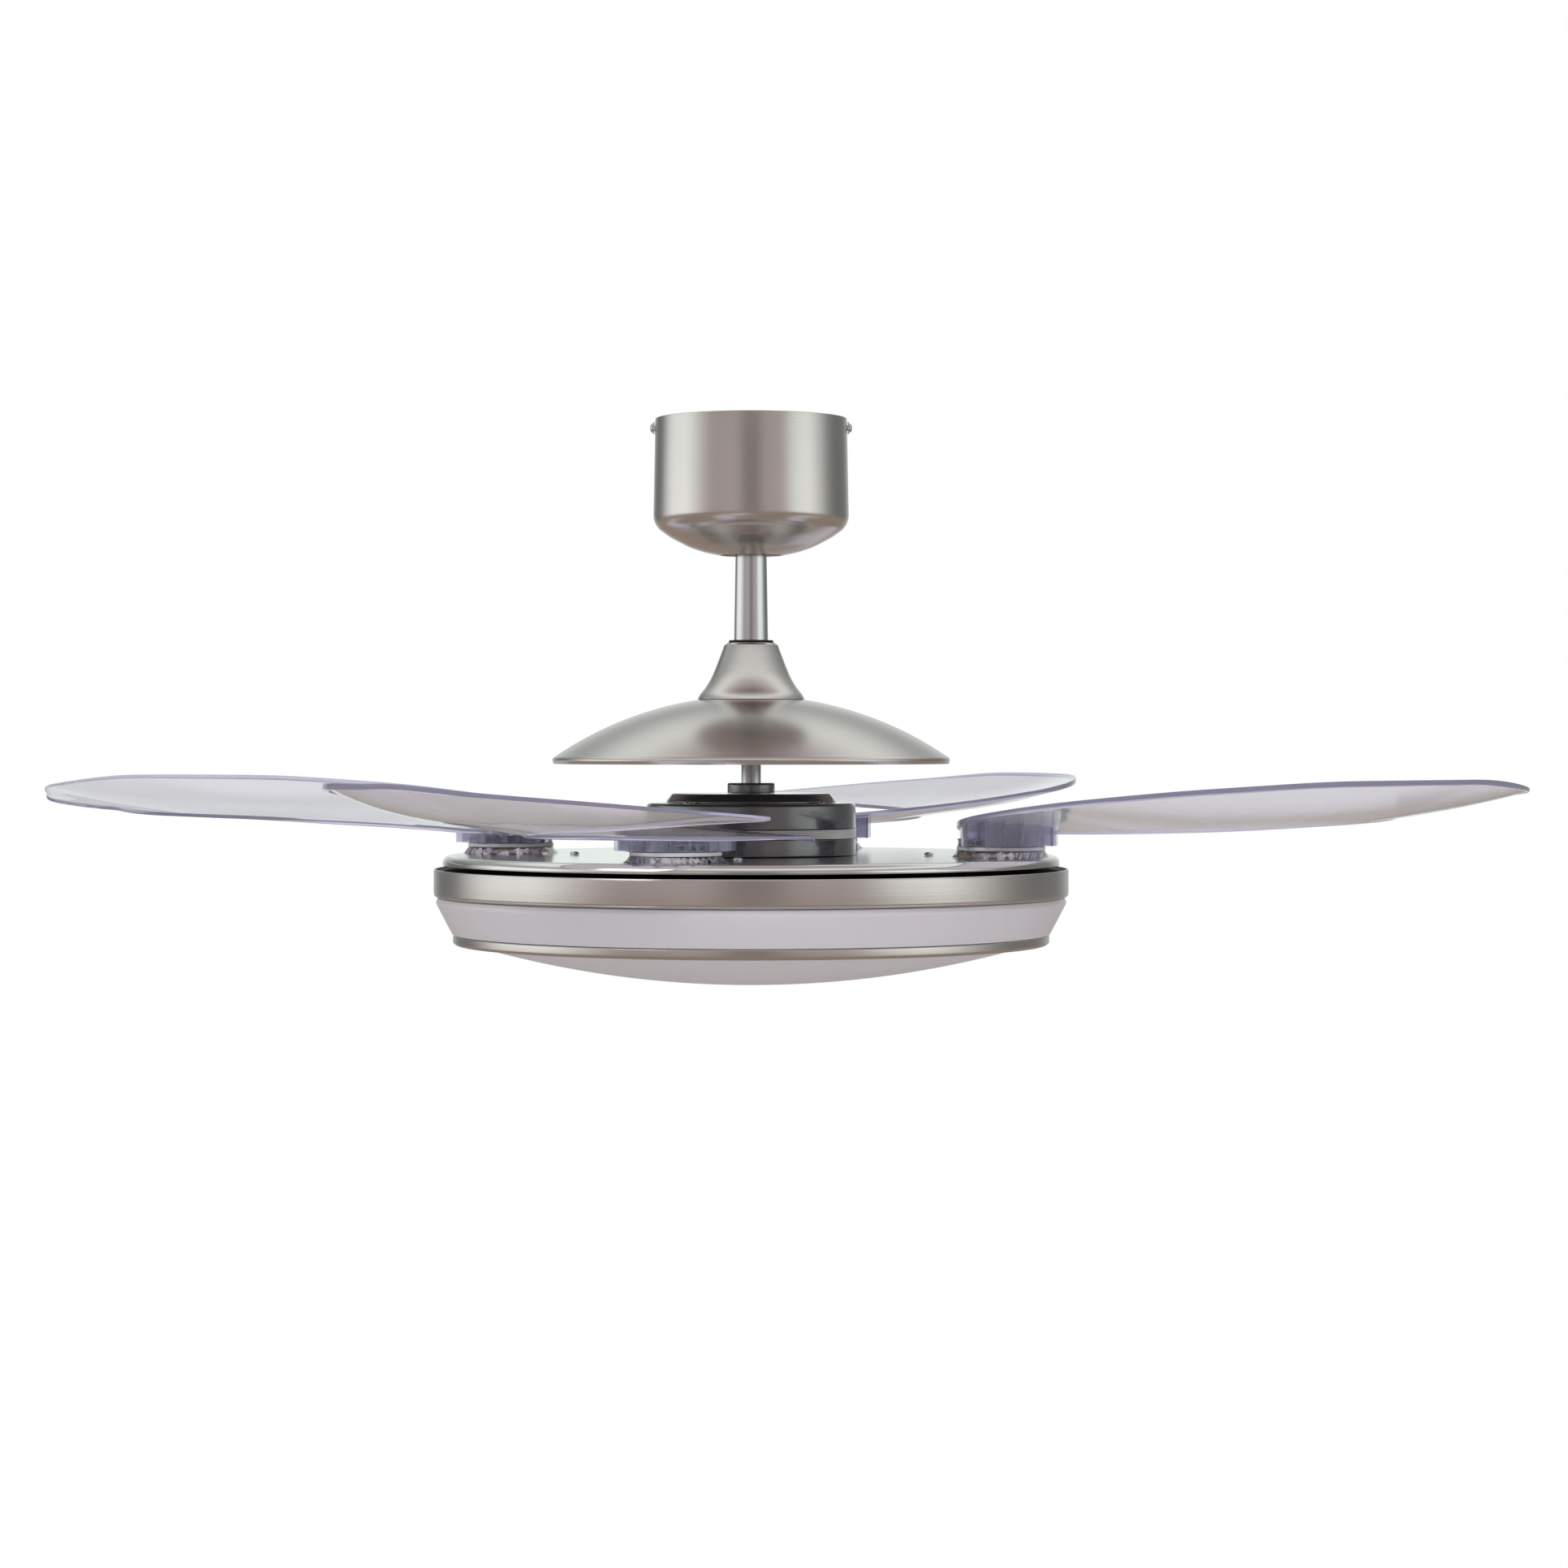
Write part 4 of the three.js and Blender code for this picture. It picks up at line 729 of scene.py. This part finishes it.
def ramp(tree, value, stops, ease="LINEAR"):
    """Colour ramp of (position, colour) stops."""
    made = tree.nodes.new("ShaderNodeValToRGB")
    band = made.color_ramp
    band.interpolation = ease
    band.elements[0].position, band.elements[1].position = 0.0, 1.0
    for position, colour in stops[1:-1]:
        band.elements.new(position)
    for element, (position, colour) in zip(band.elements, stops):
        element.position = position
        element.color = (*colour, 1)
    tree.links.new(value, made.inputs[0])
    return made.outputs[0]


WARM, COOL = (1.08, 0.985, 0.98), (0.96, 1.03, 1.0)
UNDER = (0.37, 0.31, 0.26)

floor_mesh = bpy.data.meshes.new("studio_floor")
half = 9.0
floor_corners = [(-half, -half, 0), (half, -half, 0), (half, half, 0), (-half, half, 0)]
floor_mesh.from_pydata(floor_corners, [], [(0, 1, 2, 3)])
floor = bpy.data.objects.new("studio_floor", floor_mesh)
floor.location.z = -1.6
SCENE.collection.objects.link(floor)
pale = bpy.data.materials.new("pale_floor")
pale.use_nodes = True
tree = pale.node_tree
shader = tree.nodes["Principled BSDF"]
shader.inputs["Base Color"].default_value = (0.85, 0.85, 0.85, 1)
shader.inputs["Roughness"].default_value = 0.9
white = node_of(tree, "ShaderNodeEmission", Color=(1, 1, 1, 1), Strength=1.03)
mirrored = node_of(tree, "ShaderNodeEmission", Color=(*UNDER, 1), Strength=1.0)
seen = choose(tree, 0.93, shader.outputs[0], white.outputs[0])
lit = choose(tree, rays(tree, "Glossy"), shader.outputs[0], mirrored.outputs[0])
shown = choose(tree, rays(tree, "Camera", "Transmission"), lit, seen)
tree.links.new(shown, tree.nodes["Material Output"].inputs[0])
floor_mesh.materials.append(pale)

# The studio as the metal mirrors it: upright panels by azimuth, 0 toward the camera, and a lit ceiling.
PANELS = [(-180, 1.0, COOL), (-166, 0.7, COOL), (-152, 0.2, COOL), (-132, 0.2, COOL), (-110, 1.25, COOL),
          (-82, 1.38, COOL), (-50, 0.48, WARM), (-16, 0.55, WARM), (-7, 0.27, WARM), (7, 0.27, WARM),
          (16, 0.52, WARM), (38, 0.52, WARM), (50, 1.15, COOL), (72, 1.38, COOL), (104, 0.32, COOL),
          (120, 0.21, COOL), (146, 0.24, COOL), (166, 0.7, COOL), (180, 1.0, COOL)]
CEILING = [(0.0, 0.4, COOL), (0.5, 0.45, COOL), (0.7, 1.1, COOL), (0.78, 1.1, COOL), (0.88, 0.55, WARM),
           (1.0, 0.42, WARM)]

world = bpy.data.worlds.new("studio")
SCENE.world = world
world.use_nodes = True
tree = world.node_tree
tree.nodes.clear()
coords = tree.nodes.new("ShaderNodeTexCoord")
split = tree.nodes.new("ShaderNodeSeparateXYZ")
tree.links.new(coords.outputs["Generated"], split.inputs[0])
toward = tree.nodes.new("ShaderNodeMath")
toward.operation = "MULTIPLY"
toward.inputs[1].default_value = -1
tree.links.new(split.outputs[1], toward.inputs[0])
azimuth = tree.nodes.new("ShaderNodeMath")
azimuth.operation = "ARCTAN2"
tree.links.new(split.outputs[0], azimuth.inputs[0])
tree.links.new(toward.outputs[0], azimuth.inputs[1])
around = node_of(tree, "ShaderNodeMapRange", From_Min=-math.pi, From_Max=math.pi)
tree.links.new(azimuth.outputs[0], around.inputs["Value"])
panels = ramp(tree, around.outputs[0],
              [(a / 360 + 0.5, [level * c for c in tint]) for a, level, tint in PANELS])
ceiling = ramp(tree, split.outputs[2], [(z, [level * c for c in tint]) for z, level, tint in CEILING])


def blended(low, high, first, second):
    """Colour that goes from the first to the second between two heights of view."""
    share = node_of(tree, "ShaderNodeMapRange", From_Min=low, From_Max=high)
    tree.links.new(split.outputs[2], share.inputs["Value"])
    mix = tree.nodes.new("ShaderNodeMix")
    mix.data_type = "RGBA"
    tree.links.new(share.outputs[0], mix.inputs[0])
    for socket, colour in ((mix.inputs[6], first), (mix.inputs[7], second)):
        if isinstance(colour, tuple):
            socket.default_value = (*colour, 1)
        else:
            tree.links.new(colour, socket)
    return mix.outputs[2]


studio = blended(-0.3, -0.12, UNDER, blended(0.22, 0.42, panels, ceiling))
mirrored = node_of(tree, "ShaderNodeBackground", Strength=1.0)
tree.links.new(studio, mirrored.inputs["Color"])
soft = node_of(tree, "ShaderNodeBackground", Color=(0.56, 0.55, 0.56, 1), Strength=1.0)
white = node_of(tree, "ShaderNodeBackground", Color=(1, 1, 1, 1), Strength=1.0)
lit = choose(tree, rays(tree, "Glossy"), soft.outputs[0], mirrored.outputs[0])
shown = choose(tree, rays(tree, "Camera", "Transmission"), lit, white.outputs[0])
tree.links.new(shown, tree.nodes.new("ShaderNodeOutputWorld").inputs[0])


def lamp(name, place, target, size, power):
    """Soft lamp for the matt surfaces; the metal mirrors the panels instead."""
    data = bpy.data.lights.new(name, "AREA")
    data.shape, data.size, data.energy = "SQUARE", size, power
    made = bpy.data.objects.new(name, data)
    made.location = place
    made.rotation_euler = (Vector(target) - Vector(place)).to_track_quat("-Z", "Y").to_euler()
    made.visible_glossy = False
    SCENE.collection.objects.link(made)


MIDDLE = (0, 0, -0.3)
lamp("key", (-2.2, -2.2, 1.3), MIDDLE, 1.6, 26)
lamp("fill", (2.6, -1.8, 0.5), MIDDLE, 1.6, 16)
lamp("low_fill", (0, -1.6, -1.5), MIDDLE, 1.2, 9)

# The camera stands a little above the tray; its shifts bring the axis to where the photograph has it.
IMAGE, AXIS_X, HORIZON_Y, FOCAL = 1932, 925.5, 921.3, 4399.8
camera = bpy.data.cameras.new("camera")
camera.sensor_width = 36
camera.lens = FOCAL * camera.sensor_width / IMAGE
camera.shift_x = 0.5 - AXIS_X / IMAGE
camera.shift_y = HORIZON_Y / IMAGE - 0.5
view = bpy.data.objects.new("camera", camera)
view.location = (0, -2.8515, -0.2627)
view.rotation_euler = (math.pi / 2, 0, 0)
SCENE.collection.objects.link(view)
SCENE.camera = view
SCENE.view_settings.view_transform = "Standard"
